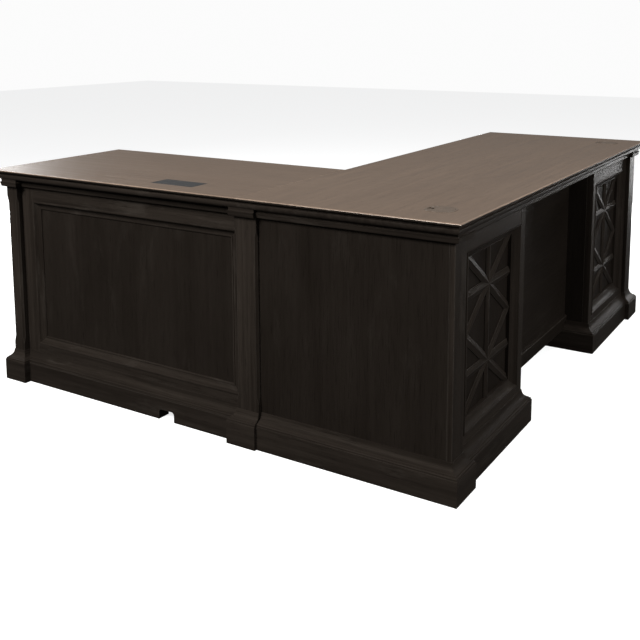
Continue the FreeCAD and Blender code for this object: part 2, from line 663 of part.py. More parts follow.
def door_hinges():
    """Fixed leaves with their barrels, beside the door's edge."""
    edge = DOOR_END + DOOR_OVERLAY + HINGE_CLEARANCE
    axis_x = RETURN_FACE + FRONT_GAP + FRONT_THICKNESS - HINGE_CLEARANCE
    hinges = []
    for z in HINGE_BOTTOMS:
        leaf = box(RETURN_FACE, edge, z, axis_x, edge + HINGE_LEAF, z + HINGE_LENGTH)
        hinges.append(leaf.fuse(tube(HINGE_R, HINGE_LENGTH, axis_x, edge + HINGE_LEAF, z)))
    return Part.makeCompound(hinges)


def main():
    os.makedirs("parts", exist_ok=True)
    housing, lid, module = outlet_parts()
    for name, shape in (("corner_post", corner_post()), ("desk_side", desk_side()),
                        ("visitor_frame", visitor_frame()), ("visitor_board", visitor_board()),
                        ("visitor_moulding", visitor_moulding()), ("lattice", lattice()),
                        ("knee_side", knee_side()), ("crown", desk_crown())):
        save(f"{name}_left", shape)
        save(f"{name}_right", mirrored(shape))
    liners = [grommet_liner(x) for x in (-GROMMET_X, GROMMET_X)]
    rails = pedestal_drawers() + centre_drawer()
    singles = {"desk_top": desk_top(), "return_top": return_top(), "top_joining_plates": top_joining_plates(),
               "outlet_housing": housing, "outlet_lid": lid, "outlet_module": module,
               "grommet_liners": Part.makeCompound(liners), "grommet_cap_left": grommet_cap(-GROMMET_X),
               "grommet_cap_right": grommet_cap(GROMMET_X), "plinth_left": desk_plinth("LFR"),
               "plinth_right": mirrored(desk_plinth("LFRB")), "modesty_panel": modesty_panel(),
               "visitor_apron": visitor_apron(), "corner_back_panel": corner_back_panel(),
               "pedestal_face_frame": pedestal_face_frame(), "slide_rails": Part.makeCompound(rails),
               "return_end_panel": return_end_panel(), "return_pilaster": return_pilaster(),
               "return_back_frame": return_back_frame(), "return_back_board": return_back_board(),
               "return_back_moulding": return_back_moulding(), "return_plinth": return_plinth(),
               "return_crown": return_crown(), "return_face_frame": return_face_frame(),
               "return_partition": return_partition(), "return_shelves": return_shelves(),
               "cabinet_door": cabinet_door(), "cabinet_door_pull": cabinet_door_pull(),
               "door_hinges": door_hinges()}
    for name, shape in singles.items():
        save(name, shape)


main()
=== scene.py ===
import bmesh
import bpy
import math
import random
from mathutils import Matrix, Vector
from mathutils.geometry import tessellate_polygon


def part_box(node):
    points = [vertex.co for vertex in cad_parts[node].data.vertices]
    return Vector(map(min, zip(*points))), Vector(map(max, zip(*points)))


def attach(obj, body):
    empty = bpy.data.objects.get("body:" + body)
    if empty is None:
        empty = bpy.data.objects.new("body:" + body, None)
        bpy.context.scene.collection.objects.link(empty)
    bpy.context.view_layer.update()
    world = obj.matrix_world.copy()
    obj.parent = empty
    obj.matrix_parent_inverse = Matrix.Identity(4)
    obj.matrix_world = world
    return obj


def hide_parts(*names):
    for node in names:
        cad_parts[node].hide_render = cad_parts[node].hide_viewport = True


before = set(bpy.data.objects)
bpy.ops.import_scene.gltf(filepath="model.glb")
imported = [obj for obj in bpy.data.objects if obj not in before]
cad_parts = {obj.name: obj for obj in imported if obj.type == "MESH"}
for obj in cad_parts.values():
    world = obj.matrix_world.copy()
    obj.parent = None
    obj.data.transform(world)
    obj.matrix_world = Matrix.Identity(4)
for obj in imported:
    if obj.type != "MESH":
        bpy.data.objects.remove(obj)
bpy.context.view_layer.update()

# An L-shaped executive desk, in metres, in the CAD model's frame. Most pieces are built from
# separate boards and mouldings, so that each board has its own grain and its own edges, worn and painted
# lighter as a highlight.
# Profiles are lists of (height, reach) in millimetres, from the bottom up.

MM = 0.001
BODY = "desk"

# Camera, found by matching the photograph's perspective
LENS_MM = 51.08
SENSOR_MM = 36.0
SHIFT_Y = -0.25
CAMERA_YAW = 0.55904
CAMERA_PITCH = 0.14239
CAMERA_ROLL = -0.00395
CAMERA_PLACE = (-3.05021, -1.76454, 1.24232)

# Edges
BOARD_EDGE = 1.2 * MM
FINE_EDGE = 0.6 * MM
THIN_EDGE = 0.3 * MM
EDGE_SEGMENTS = 2
SHARP_ANGLE = math.radians(32)
SMOOTH_ANGLE = math.radians(38)
MERGE_DISTANCE = 0.005 * MM
GRAIN_SPREAD = 40.0
UPRIGHT_ENOUGH = 0.9
ROUND_SEGMENTS = 32

# Material slots: a piece's faces, its edges (worn, and painted lighter as a highlight), and the moulded
# edge under a top's surface
FACE_SLOT = 0
EDGE_SLOT = 1
BODY_SLOT = 2
X_AXIS, Y_AXIS, Z_AXIS = (1, 0, 0), (0, 1, 0), (0, 0, 1)

# Tops: nose, cove and lip, as (height under the surface, inset)
TOP_PROFILE = ((0, 4.2), (0.4, 2.6), (1.3, 1.2), (2.6, 0.35), (4.2, 0), (6.2, 0.2), (7.6, 1.0), (8.4, 2.4),
               (8.7, 8.6), (9.8, 10.6), (12.0, 11.6), (14.4, 11.2), (16.2, 9.6), (16.8, 8.4),
               (18.2, 7.6), (22.0, 7.4), (26.0, 8.4), (29.0, 10.2), (31.0, 12.0))
SEAM_PROFILE = ((0, 0.7), (0.6, 0.15))
# How far under the surface the painted highlight on the nose's upper curve runs, in millimetres
NOSE_HIGHLIGHT_DEPTH = 2.0

# Crown under the tops, and the plain band across the visitor's side
CROWN_PROFILE = ((704, 0), (704, 10.2), (704.8, 11.8), (706.5, 12.8), (711, 13.6), (716, 14.9),
                 (718.6, 16.2), (719.8, 16.3), (720.4, 15.2), (720.8, 12.6), (723, 11.6), (727, 11.8),
                 (731, 13.2), (731, 0))
BAND_PROFILE = ((704, 0), (704, 9.2), (704.8, 10.8), (706.5, 11.6), (709, 12), (728, 12), (731, 11),
                (731, 0))

# Plinth: a base board with a capping moulding
BASE_BOARD_TOP = 70.7 * MM
CAP_PROFILE = ((71, 1.0), (71.6, 1.0), (73.2, 0.985), (74.4, 0.95), (74.8, 0.89), (76.0, 0.915),
               (77.8, 0.915), (79.6, 0.87), (80.6, 0.80), (81.0, 0.735), (82.6, 0.715), (83.4, 0.66),
               (85.2, 0.545), (87.6, 0.42), (91, 0.29), (95.5, 0.185), (101, 0.115), (106.5, 0.08),
               (109.2, 0.065), (110, 0.0))

# Mouldings of the visitor panels, as (share of the width, depth behind the frame's face)
VISITOR_MOULDING = ((0, 0), (0.015, -1.2), (0.05, -1.9), (0.10, -1.9), (0.15, -1.2), (0.17, -0.2),
                    (0.19, 1.4), (0.23, 3.2), (0.32, 7.0), (0.44, 10.0), (0.60, 12.4), (0.78, 13.8),
                    (0.90, 14.3), (0.91, 13.1), (0.97, 12.9), (1.0, 13.6), (1.0, 24), (0, 24))
RETURN_MOULDING = ((0, 0), (0.02, -1.2), (0.07, -1.9), (0.13, -1.9), (0.20, -1.3), (0.24, -0.2),
                   (0.26, 1.6), (0.31, 4.2), (0.42, 8.0), (0.56, 10.6), (0.70, 12.0), (0.80, 12.6),
                   (0.81, 11.0), (0.90, 10.6), (0.97, 11.4), (1.0, 12.8), (1.0, 15), (0, 15))
RETURN_MOULDING_WIDTH = 30.0 * MM

# Lattice bars, ridged along the middle
BAR_HALF_WIDTH = 15.0 * MM
BAR_EDGE_HEIGHT = 3.0 * MM
RIDGE_EDGE = 1.6 * MM
STARS = 2

# Boards
MODESTY_RAIL_TOP = 137 * MM
MODESTY_RAIL_PROUD = 8 * MM
STOP_CHAMFER = 7 * MM
CHAMFER_HEIGHTS = (135 * MM, 160 * MM, 646 * MM, 671 * MM)
NOTCH_Y = 125 * MM
NOTCH_HALF_WIDTH = 31 * MM
NOTCH_HEIGHT = 34 * MM
NOTCH_ROUND = 10 * MM
NOTCH_STEPS = 6

# User side
DRAWER_WALL = 12 * MM
DRAWER_BASE = 6 * MM
FACE_STILE = 24 * MM
FRONT_FRAME = 34 * MM
FRONT_FRAME_NARROW = 20 * MM
DOOR_FRAME = 68 * MM
FRONT_PROFILE = ((0, -19.5), (0, -4.0), (0.9, -1.6), (2.6, -0.4), (4.6, 0))
FRONT_FIELD = ((0, 0), (0.8, -0.9), (1.4, -2.4), (3.0, -3.2), (5.2, -3.4))
FIELD_CLEARANCE = 0.1
DRAWERS = ("file_drawer", "middle_drawer", "upper_drawer")
DOOR_STILE = 36 * MM
DOOR_OPENING = (130 * MM, 690 * MM)
SHELF_THICKNESS = 18 * MM

# Pulls
PULL_BAR_RADIUS = 5 * MM
PULL_POST_RADIUS = 4 * MM
PULL_POST_INSET = 18 * MM
PULL_REACH = 28 * MM
PULL_FOOT = 3.4 * MM
# As shares of the bar's radius: (distance from the end, radius), then (past the collar's start, radius)
PULL_DOME = ((0, 0.35), (0.12, 0.62), (0.45, 0.88), (0.9, 1))
PULL_COLLAR = ((0, 1), (0.4, 0.86), (0.8, 1))
# As (distance from the face in metres, share of the post's radius)
PULL_POST_PROFILE = ((-PULL_FOOT, 1.7), (1.2 * MM, 1.7), (2.2 * MM, 1.55), (3.4 * MM, 1.15), (6 * MM, 0.92),
                     (PULL_REACH - 1.5 * PULL_BAR_RADIUS, 0.92), (PULL_REACH, 1.05))

# Grommets
GROMMET_SEGMENTS = 64
GROMMET_HOLE_RADIUS = 41 * MM
REBATE_RADIUS = 45.2 * MM
REBATE_DEPTH = 0.5 * MM
LINER_PROFILE = ((35, -35), (40.8, -35), (40.8, -0.5), (45.0, -0.5), (45.0, 0.4), (44.6, 1.0), (43.6, 1.4),
                 (42.0, 1.5), (39.4, 1.5), (38.6, 1.2), (38.2, 0.6), (38.2, -2.2), (35.6, -2.2), (35, -2.8))
CAP_RADIUS = 37.8 * MM
CAP_SLOT_HALF_WIDTH = 10 * MM
CAP_SLOT_START = 20 * MM
CAP_EDGE = 0.4 * MM
# The raised disc in the middle of a cap, as (height over its plate, radius)
CAP_DISC_PROFILE = ((0, 12), (0.4, 11.4), (0.4, 10), (0.1, 9), (0.1, 0.2))

# Power outlet
OUTLET_WALL = 2.5 * MM
FLANGE_PROFILE = ((0, -3), (0, -0.5), (0.5, 0), (3.8, 0), (4.6, -0.35), (5.5, -0.5), (5.5, -3))
FLANGE_THICKNESS = 3 * MM
PLATE_STEPS = ((-48 * MM, 18 * MM, "power"), (-6 * MM, 18 * MM, "power"), (40 * MM, 20 * MM, "data"))
PLATE_HALF_WIDTH = 17 * MM
PLATE_HEIGHT = 1.5 * MM
PLATE_EDGE = 0.4 * MM
PLATE_RIM = 3 * MM
PLATE_SLOPE = 0.5 * MM
SLOT_DEPTH = 1.1 * MM
# Blocks in a socket plate, in millimetres from its middle: (x, y, half width, half length)
SOCKET_BLOCKS = {"power": ((-6, 5, 1.2, 4.2), (6, 5, 1.2, 4.2), (0, -7, 2.6, 2.6)),
                 "data": ((0, 8, 6.5, 3), (0, 0, 6.5, 3), (0, -9, 6.0, 5.0))}
BLOCK_SUNK = 0.2 * MM
BLOCK_PROUD = 0.7 * MM
LID_GAP = 0.4 * MM
LID_EDGE = 0.5 * MM
LID_PIN_RADIUS = 1.2 * MM
LID_PIN_SOFT = 0.2 * MM
LID_PIN_END = 0.8
LID_STOP_WIDTH = 2 * MM
LID_STOP_HEIGHT = 2.6 * MM

# Hinges
HINGE_LENGTH = 60 * MM
KNUCKLES = 5
KNUCKLE_GAP = 0.4 * MM
LEAF_THICKNESS = 3 * MM

# Colours
BLACK_DARK = (0.0058, 0.0044, 0.0034)
BLACK_LIGHT = (0.0115, 0.0091, 0.0073)
# Rubbed wood. On the board edges it is also a painted highlight where light would catch them
WORN_AND_EDGE_HIGHLIGHT = (0.052, 0.045, 0.038)
VENEER_DARK = (0.066, 0.045, 0.031)
VENEER_LIGHT = (0.090, 0.064, 0.046)
WARM_GLOSS = (1.0, 0.86, 0.74)
OAK_DARK = (0.30, 0.19, 0.10)
OAK_LIGHT = (0.46, 0.32, 0.19)
BRONZE = (0.060, 0.048, 0.038)
ZINC = (0.62, 0.63, 0.65)
PLASTIC = (0.012, 0.012, 0.012)
BROWN_PLASTIC = (0.060, 0.044, 0.032)
FRAME_LIGHT = (0.01955, 0.01547, 0.01241)
MOULDING_LIGHT = (0.0184, 0.01456, 0.01168)
# The edge material's darker tone: wear, and a painted edge highlight
WORN_AND_EDGE_HIGHLIGHT_DARK = (0.0312, 0.027, 0.0228)
# A painted highlight for the rounded upper edge of the tops' nose
VENEER_PAINTED_HIGHLIGHT = (0.180, 0.128, 0.092)

# Woods. wear is the share of rubbed patches, which on the edge materials also stand for a painted
# highlight; relief the depth of the grain, figure how fine it is.
WOODS = {
    # Board edges: real wear, painted lighter still as an edge highlight
    "black_wood_edge": dict(
        dark=BLACK_LIGHT, light=WORN_AND_EDGE_HIGHLIGHT_DARK, worn=WORN_AND_EDGE_HIGHLIGHT, wear=0.8, specular=0.04, roughness=0.42,
        relief=0.12 * MM),
    "black_wood_panel": dict(
        dark=BLACK_DARK, light=BLACK_LIGHT, worn=WORN_AND_EDGE_HIGHLIGHT, wear=0.12, specular=0.012, roughness=0.50,
        relief=0.20 * MM, figure=7.0, streaks=0.28),
    "black_wood_frame": dict(
        dark=BLACK_DARK, light=FRAME_LIGHT, worn=WORN_AND_EDGE_HIGHLIGHT, wear=0.35, specular=0.016, roughness=0.48,
        relief=0.26 * MM),
    "black_wood_worn": dict(
        dark=BLACK_DARK, light=MOULDING_LIGHT, worn=WORN_AND_EDGE_HIGHLIGHT, wear=0.45, specular=0.016, roughness=0.48,
        relief=0.24 * MM),
    "top_veneer_face": dict(
        dark=VENEER_DARK, light=VENEER_LIGHT, worn=VENEER_LIGHT, wear=0.15, specular=0.20,
        roughness=0.38, relief=0.06 * MM, figure=5.0),
    # The nose's upper curve: lighter veneer as a painted highlight
    "top_veneer_edge": dict(
        dark=VENEER_LIGHT, light=VENEER_PAINTED_HIGHLIGHT, worn=VENEER_LIGHT, wear=0.4, specular=0.5,
        roughness=0.30, relief=0.06 * MM),
    "drawer_wood_face": dict(
        dark=OAK_DARK, light=OAK_LIGHT, worn=OAK_LIGHT, wear=0.2, specular=0.4, roughness=0.42,
        relief=0.16 * MM, figure=14.0)}
FIGURE_ALONG = 0.9
FIGURE_ACROSS = 9.0
STREAK_SHARE = 0.6

# Patterns in the wood: scale along and across the grain, then detail, roughness and distortion
STREAKS = ((1.6, 62.0, 62.0), 7.0, 0.62, 0.25)
PORES = ((16.0, 560.0, 560.0), 2.0, 0.5)
RUBBED = ((3.2, 13.0, 13.0), 8.0, 0.68, 0.4)
CLOUDS = ((2.4, 4.5, 4.5), 3.0)
FIGURE_NOISE = (3.0, 0.5, 0.9)
# The part of each pattern's values that runs from nothing to full
STREAK_RANGE = (0.32, 0.68)
FIGURE_RANGE = (0.30, 0.70)
RUBBED_RANGE = (0.56, 0.80)
PORE_RANGE = (0.30, 0.44)
PORE_DEPTH = 0.45
PORE_RELIEF = 0.7
STREAK_RELIEF = 0.9
WOOD_ROUGHNESS_SPREAD = (-0.05, 0.07)

# Metals and plastics
METALS = {
    "bronze_pull_metal": dict(colour=BRONZE, roughness=0.36, spangle=90.0, streaks=(300.0, 300.0, 300.0)),
    "zinc_steel_metal": dict(colour=ZINC, roughness=0.34, spangle=55.0, streaks=(500.0, 6.0, 500.0))}
MOTTLE_RANGE = (0.35, 0.7)
MOTTLE_DARK = 0.66
METAL_ROUGHNESS_SPREAD = (-0.07, 0.10)
METAL_RELIEF = 0.04 * MM
PLASTICS = {"black_plastic_face": dict(colour=PLASTIC, roughness=0.42, specular=0.25),
            "brown_plastic_face": dict(colour=BROWN_PLASTIC, roughness=0.42, specular=0.18)}
PLASTIC_GRAIN = 2600.0
SCUFFS = ((40.0, 160.0, 40.0), 6.0)
SCUFF_RANGE = (0.5, 0.75)
SCUFF_SHARE = 0.5
SCUFF_GAIN = 1.3
SCUFF_LIFT = 0.004
PLASTIC_ROUGHNESS_SPREAD = (-0.06, 0.08)
PLASTIC_RELIEF = 0.06 * MM

# Each look: the record's slot, then the materials for the face, edge (worn and painted highlight) and body
# slots
LOOK_TABLE = {"panel": ("black_wood", "black_wood_panel", "black_wood_edge"),
              "frame": ("black_wood", "black_wood_frame", "black_wood_edge"),
              "worn": ("black_wood", "black_wood_worn", "black_wood_edge"),
              "top": ("top_veneer", "top_veneer_face", "top_veneer_edge", "black_wood_worn"),
              "drawer": ("drawer_wood", "drawer_wood_face", "drawer_wood_face"),
              "bronze": ("bronze_pull", "bronze_pull_metal", "bronze_pull_metal"),
              "zinc": ("zinc_steel", "zinc_steel_metal", "zinc_steel_metal"),
              "plastic": ("black_plastic", "black_plastic_face", "black_plastic_face"),
              "brown": ("black_plastic", "brown_plastic_face", "brown_plastic_face")}

# Stage. The camera sees a white floor and backdrop. Other rays meet darker ones, which keeps the
# mouldings' shading. Lights: name, place, target, size and power in watts. The low lights stay
# under the top, so they reach the user's side without a glare on it.
FLOOR_SIZE = 14
FLOOR_COLOUR = (0.42, 0.42, 0.42)
FLOOR_MOTTLE = (0.4158, 0.4158, 0.4158)
FLOOR_GLOW = 0.76
FLOOR_BOUNCE = (0.10, 0.10, 0.10)
FLOOR_ROUGHNESS = 0.9
FLOOR_SPECULAR = 0.1
BACKDROP_COLOUR = (0.97, 0.97, 0.97)
AMBIENT_COLOUR = (0.23, 0.235, 0.24)
LIGHTS = (("key", (-3.9, 0.7, 3.2), (-0.4, 0.1, 0.5), (1.5, 1.5), 350),
          ("front", (-1.0, -4.8, 2.7), (0.1, -0.6, 0.3), (1.6, 1.4), 170),
          ("back", (0.4, 4.6, 2.0), (-0.2, 0.2, 0.5), (3.4, 1.8), 120),
          ("low_back", (0.6, 3.4, 0.40), (0.6, 0.0, 0.38), (2.8, 0.6), 100),
          ("low_right", (3.6, -0.2, 0.40), (0.9, -0.2, 0.38), (2.8, 0.6), 110),
          ("overhead", (0.6, -1.4, 3.8), (0.2, -0.4, 0.7), (2.2, 2.2), 110))

BOX = {name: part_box(name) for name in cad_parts}


def low(node):
    """The lowest corner of a CAD node's box."""
    return BOX[node][0]


def high(node):
    """The highest corner of a CAD node's box."""
    return BOX[node][1]


# Places, from the CAD nodes
LEFT, RIGHT = low("desk_top").x, high("desk_top").x
VISITOR, USER_EDGE = low("desk_top").y, high("desk_top").y
RETURN_USER_EDGE, RETURN_END = high("return_top").x, high("return_top").y
TOP, TOP_UNDER = high("desk_top").z, low("desk_top").z
SIDE = high("desk_side_right").x
POST_INNER = low("corner_post_right").x
POST_FRONT, BODY_FRONT = low("corner_post_right").y, high("corner_post_right").y
BODY_BACK = high("desk_side_right").y
KNEE = low("visitor_frame_right").x
FRAME_BACK = high("visitor_frame_right").y
PROUD_FACE = low("return_pilaster").x
PILASTER_END = high("return_pilaster").y
RECESS_FACE, RETURN_INNER = low("return_back_frame").x, high("return_back_frame").x
END_INNER, END_OUTER = low("return_end_panel").y, high("return_end_panel").y
RETURN_FACE = high("return_face_frame").x
CABINET_START = low("return_partition").y
PLINTH_TOP = high("plinth_right").z
PLINTH_OUT = high("plinth_right").x - SIDE
RETURN_PLINTH_OUT = PROUD_FACE - low("return_plinth").x
GROMMET_Y = (low("grommet_liners").y + high("grommet_liners").y) / 2
GROMMET_X = (low("grommet_cap_right").x + high("grommet_cap_right").x) / 2
OUTLET_Y = (low("outlet_housing").y + high("outlet_housing").y) / 2


def grain_axes(along):
    """Three axes at right angles, with the first along the grain."""
    first = Vector(along).normalized()
    helper = Vector(Z_AXIS) if abs(first.z) < UPRIGHT_ENOUGH else Vector(Y_AXIS)
    second = first.cross(helper).normalized()
    return first, second, first.cross(second)


def wall_faces(start, rings, loop=False):
    """The faces between rings of points, each with the number of its gap. start is the first point's."""
    size = len(rings[0])
    faces = []
    for gap in range(len(rings) if loop else len(rings) - 1):
        near = start + gap * size
        far = start + (gap + 1) % len(rings) * size
        for i in range(size):
            j = (i + 1) % size
            faces.append((gap, (near + i, near + j, far + j, far + i)))
    return faces


def end_faces(rings):
    size = len(rings[0])
    last = (len(rings) - 1) * size
    return [tuple(range(size)), tuple(range(last, last + size))]


def new_part(points, faces, slots=None):
    part = bmesh.new()
    corners = [part.verts.new(p) for p in points]
    for number, indices in enumerate(faces):
        face = part.faces.new([corners[i] for i in indices])
        face.material_index = slots[number] if slots else FACE_SLOT
    return part


class Piece:
    """Collects boards and mouldings into one named object. Each has its own stretch of grain."""

    def __init__(self, name):
        self.name = name
        self.mesh = bmesh.new()
        self.grain = self.mesh.verts.layers.float_vector.new("grain")
        self.random = random.Random(name)
        self.mirror = False

    def add(self, points, faces, along, edge=0.0, slots=None):
        """Adds one board or moulding, with its grain along a direction."""
        part = new_part(points, faces, slots)
        bmesh.ops.remove_doubles(part, verts=part.verts, dist=MERGE_DISTANCE)
        bmesh.ops.dissolve_degenerate(part, edges=part.edges, dist=MERGE_DISTANCE)
        bmesh.ops.recalc_face_normals(part, faces=part.faces)
        if edge:
            rounded(part, edge)
        self.take(part, along)

    def take(self, part, along):
        """Copies a finished part, mirrored if the piece is, and gives it a random stretch of grain."""
        first, second, third = grain_axes(along)
        shift = Vector([self.random.uniform(0, GRAIN_SPREAD) for _ in range(3)])
        part.verts.index_update()
        copies = []
        for vert in part.verts:
            place = vert.co.copy()
            if self.mirror:
                place.x = -place.x
            copy = self.mesh.verts.new(place)
            copy[self.grain] = Vector((place.dot(first), place.dot(second), place.dot(third))) + shift
            copies.append(copy)
        for face in part.faces:
            order = [copies[v.index] for v in face.verts]
            made = self.mesh.faces.new(reversed(order) if self.mirror else order)
            made.material_index = face.material_index
            made.smooth = True
        part.free()

    def loft(self, rings, along, edge=0.0, slots=None, loop=False):
        """Joins rings of points into a solid. slots gives a material for each gap between rings."""
        walls = wall_faces(0, rings, loop)
        faces = [wall for _, wall in walls]
        kinds = [slots[gap] if slots else FACE_SLOT for gap, _ in walls]
        if not loop:
            faces += end_faces(rings)
            kinds += [FACE_SLOT, FACE_SLOT]
        self.add([p for ring in rings for p in ring], faces, along, edge, kinds)

    def board(self, lo, hi, along=Z_AXIS, edge=BOARD_EDGE):
        """A straight board between two corners."""
        rings = [[(lo[0], lo[1], z), (hi[0], lo[1], z), (hi[0], hi[1], z), (lo[0], hi[1], z)]
                 for z in (lo[2], hi[2])]
        self.loft(rings, along, edge)

    def moulding(self, path, profile, closed=False):
        """One run of the profile for each side of a path in plan, mitred where two runs meet."""
        points = [Vector(p) for p in path]
        ends = points[1:] + points[:1] if closed else points[1:]
        steps = [(end - start).normalized() for start, end in zip(points, ends)]
        normals = [Vector((step.y, -step.x)) for step in steps]
        mitres = []
        for i in range(len(points)):
            before = normals[i - 1] if closed or i else normals[0]
            after = normals[i] if i < len(normals) else normals[-1]
            mitres.append((before + after) / (1 + before.dot(after)))
        for i, step in enumerate(steps):
            j = (i + 1) % len(points)
            rings = [[(p.x + m.x * reach, p.y + m.y * reach, z) for z, reach in profile]
                     for p, m in ((points[i], mitres[i]), (points[j], mitres[j]))]
            self.loft(rings, (step.x, step.y, 0))

    def framed(self, sides, profile, place):
        """Four mitred runs round an opening. sides(share) gives its edges that far in."""
        rings = []
        for corner in range(4):
            ring = []
            for share, depth in profile:
                u0, v0, u1, v1 = sides(share)
                u = (u0, u1, u1, u0)[corner]
                v = (v0, v0, v1, v1)[corner]
                ring.append(place(u, v, depth * MM))
            rings.append(ring)
        for corner in range(4):
            start, end = rings[corner], rings[(corner + 1) % 4]
            self.loft([start, end], Vector(end[0]) - Vector(start[0]))

    def tray(self, lo, hi, wall, base, edge, base_edge):
        """Four walls round a base."""
        inner_low, inner_high = (lo[0] + wall, lo[1] + wall), (hi[0] - wall, hi[1] - wall)
        self.board(lo, (inner_low[0], hi[1], hi[2]), Y_AXIS, edge)
        self.board((inner_high[0], lo[1], lo[2]), hi, Y_AXIS, edge)
        self.board((inner_low[0], lo[1], lo[2]), (inner_high[0], inner_low[1], hi[2]), X_AXIS, edge)
        self.board((inner_low[0], inner_high[1], lo[2]), (inner_high[0], hi[1], hi[2]), X_AXIS, edge)
        self.board((*inner_low, lo[2]), (*inner_high, lo[2] + base), X_AXIS, base_edge)

    def turned(self, profile, foot, axis, segments=ROUND_SEGMENTS):
        """A turned shape. profile gives (distance along the axis, radius)."""
        first, second, third = grain_axes(axis)
        rings = []
        for distance, radius in profile:
            centre = Vector(foot) + first * distance
            rings.append([centre + (second * math.cos(2 * math.pi * i / segments)
                                    + third * math.sin(2 * math.pi * i / segments)) * radius
                          for i in range(segments)])
        self.loft(rings, axis)

    def place(self, node, look, body=BODY):
        """Makes the object, which rides on body and stands for the CAD node."""
        data = bpy.data.meshes.new(self.name)
        self.mesh.to_mesh(data)
        self.mesh.free()
        data.set_sharp_from_angle(angle=SMOOTH_ANGLE)
        slot, materials = LOOKS[look]
        for material in materials:
            data.materials.append(material)
        made = bpy.data.objects.new(self.name, data)
        bpy.context.scene.collection.objects.link(made)
        weighted = made.modifiers.new("normals", "WEIGHTED_NORMAL")
        weighted.keep_sharp = True
        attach(made, body)
        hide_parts(node)


def rounded(part, width):
    """Rounds a part's sharp edges. The narrow faces take the edge material: wear and a painted highlight.
    """
    sharp = [e for e in part.edges if len(e.link_faces) == 2 and e.calc_face_angle() > SHARP_ANGLE]
    bmesh.ops.bevel(part, geom=sharp, offset=width, offset_type="OFFSET", segments=EDGE_SEGMENTS,
                    profile=0.5, affect="EDGES", clamp_overlap=True, material=EDGE_SLOT)


def circle(x, y, radius, z, segments=GROMMET_SEGMENTS):
    return [Vector((x + radius * math.cos(2 * math.pi * i / segments),
                    y + radius * math.sin(2 * math.pi * i / segments), z)) for i in range(segments)]


def rectangle(x0, y0, x1, y1, z):
    return [Vector((x0, y0, z)), Vector((x1, y0, z)), Vector((x1, y1, z)), Vector((x0, y1, z))]


# Tops

def edge_inset(profile, depth):
    """The inset of a profile at a depth under the surface, between its points."""
    for (d0, i0), (d1, i1) in zip(profile, profile[1:]):
        if d0 <= depth <= d1:
            return i0 + (i1 - i0) * (depth - d0) / (d1 - d0)
    return 0.0


def outline(corners, normals, insets, z):
    """The corners of an outline whose sides are each set in by their own inset."""
    ring = []
    for i, corner in enumerate(corners):
        shift = Vector(normals[i - 1]) * insets[i - 1] + Vector(normals[i]) * insets[i]
        ring.append(Vector((corner[0] - shift.x, corner[1] - shift.y, z)))
    return ring


def edge_slot(depth):
    """The nose's upper curve takes a painted highlight. The rest of a top's edge is black."""
    return EDGE_SLOT if depth < NOSE_HIGHLIGHT_DEPTH else BODY_SLOT


def slab(name, node, corners, normals, seams, holes, along):
    """A top with a moulded edge. holes are lists of rings, from the surface down."""
    piece = Piece(name)
    rings = []
    depths = sorted({d for d, _ in TOP_PROFILE} | {d for d, _ in SEAM_PROFILE})
    for depth in depths:
        insets = [edge_inset(SEAM_PROFILE if i in seams else TOP_PROFILE, depth) * MM
                  for i in range(len(corners))]
        rings.append(outline(corners, normals, insets, TOP - depth * MM))
    points = []
    faces = []
    slots = []
    starts = []
    for stack in [rings, *holes]:
        starts.append(len(points))
        walls = wall_faces(len(points), stack)
        points += [p for ring in stack for p in ring]
        faces += [wall for _, wall in walls]
        slots += [edge_slot(depths[gap]) if stack is rings else FACE_SLOT for gap, _ in walls]
    for level in (0, -1):
        loops = []
        for start, stack in zip(starts, [rings, *holes]):
            size = len(stack[0])
            first = start if level == 0 else start + (len(stack) - 1) * size
            loops.append(list(range(first, first + size)))
        flat = [i for loop in loops for i in loop]
        caps = tessellate_polygon([[points[i] for i in loop] for loop in loops])
        faces += [tuple(flat[i] for i in triangle) for triangle in caps]
        slots += [FACE_SLOT] * len(caps)
    piece.add(points, faces, along, slots=slots)
    piece.place(node, "top")


def make_tops():
    """The desk's top has a step at the seam, which is set in less than the other edges."""
    seam_x = RETURN_USER_EDGE
    corners = [(LEFT, VISITOR), (RIGHT, VISITOR), (RIGHT, USER_EDGE), (seam_x, USER_EDGE),
               (seam_x, USER_EDGE), (LEFT, USER_EDGE)]
    normals = [(0, -1), (1, 0), (0, 1), (1, 0), (0, 1), (-1, 0)]
    holes = []
    for x in (-GROMMET_X, GROMMET_X):
        holes.append([circle(x, GROMMET_Y, REBATE_RADIUS, TOP),
                      circle(x, GROMMET_Y, REBATE_RADIUS, TOP - REBATE_DEPTH),
                      circle(x, GROMMET_Y, GROMMET_HOLE_RADIUS, TOP - REBATE_DEPTH),
                      circle(x, GROMMET_Y, GROMMET_HOLE_RADIUS, TOP_UNDER)])
    slab("worktop_desk", "desk_top", corners, normals, (4,), holes, X_AXIS)
    corners = [(LEFT, USER_EDGE), (seam_x, USER_EDGE), (seam_x, RETURN_END), (LEFT, RETURN_END)]
    normals = [(0, -1), (1, 0), (0, 1), (-1, 0)]
    lo, hi = BOX["outlet_housing"]
    outer = (lo.x, lo.y, hi.x, hi.y)
    inset = FLANGE_THICKNESS
    inner = (lo.x + inset, lo.y + inset, hi.x - inset, hi.y - inset)
    hole = [rectangle(*outer, TOP), rectangle(*outer, TOP - FLANGE_THICKNESS),
            rectangle(*inner, TOP - FLANGE_THICKNESS), rectangle(*inner, TOP_UNDER)]
    slab("worktop_return", "return_top", corners, normals, (0,), [hole], Y_AXIS)


# Crowns and plinths

def in_metres(profile):
    """A profile given in millimetres."""
    return [(z * MM, reach * MM) for z, reach in profile]


def cap_profile(out):
    """The capping moulding of a plinth that stands out by out."""
    upper = [(z * MM, share * out) for z, share in CAP_PROFILE]
    return [(CAP_PROFILE[0][0] * MM, 0)] + upper


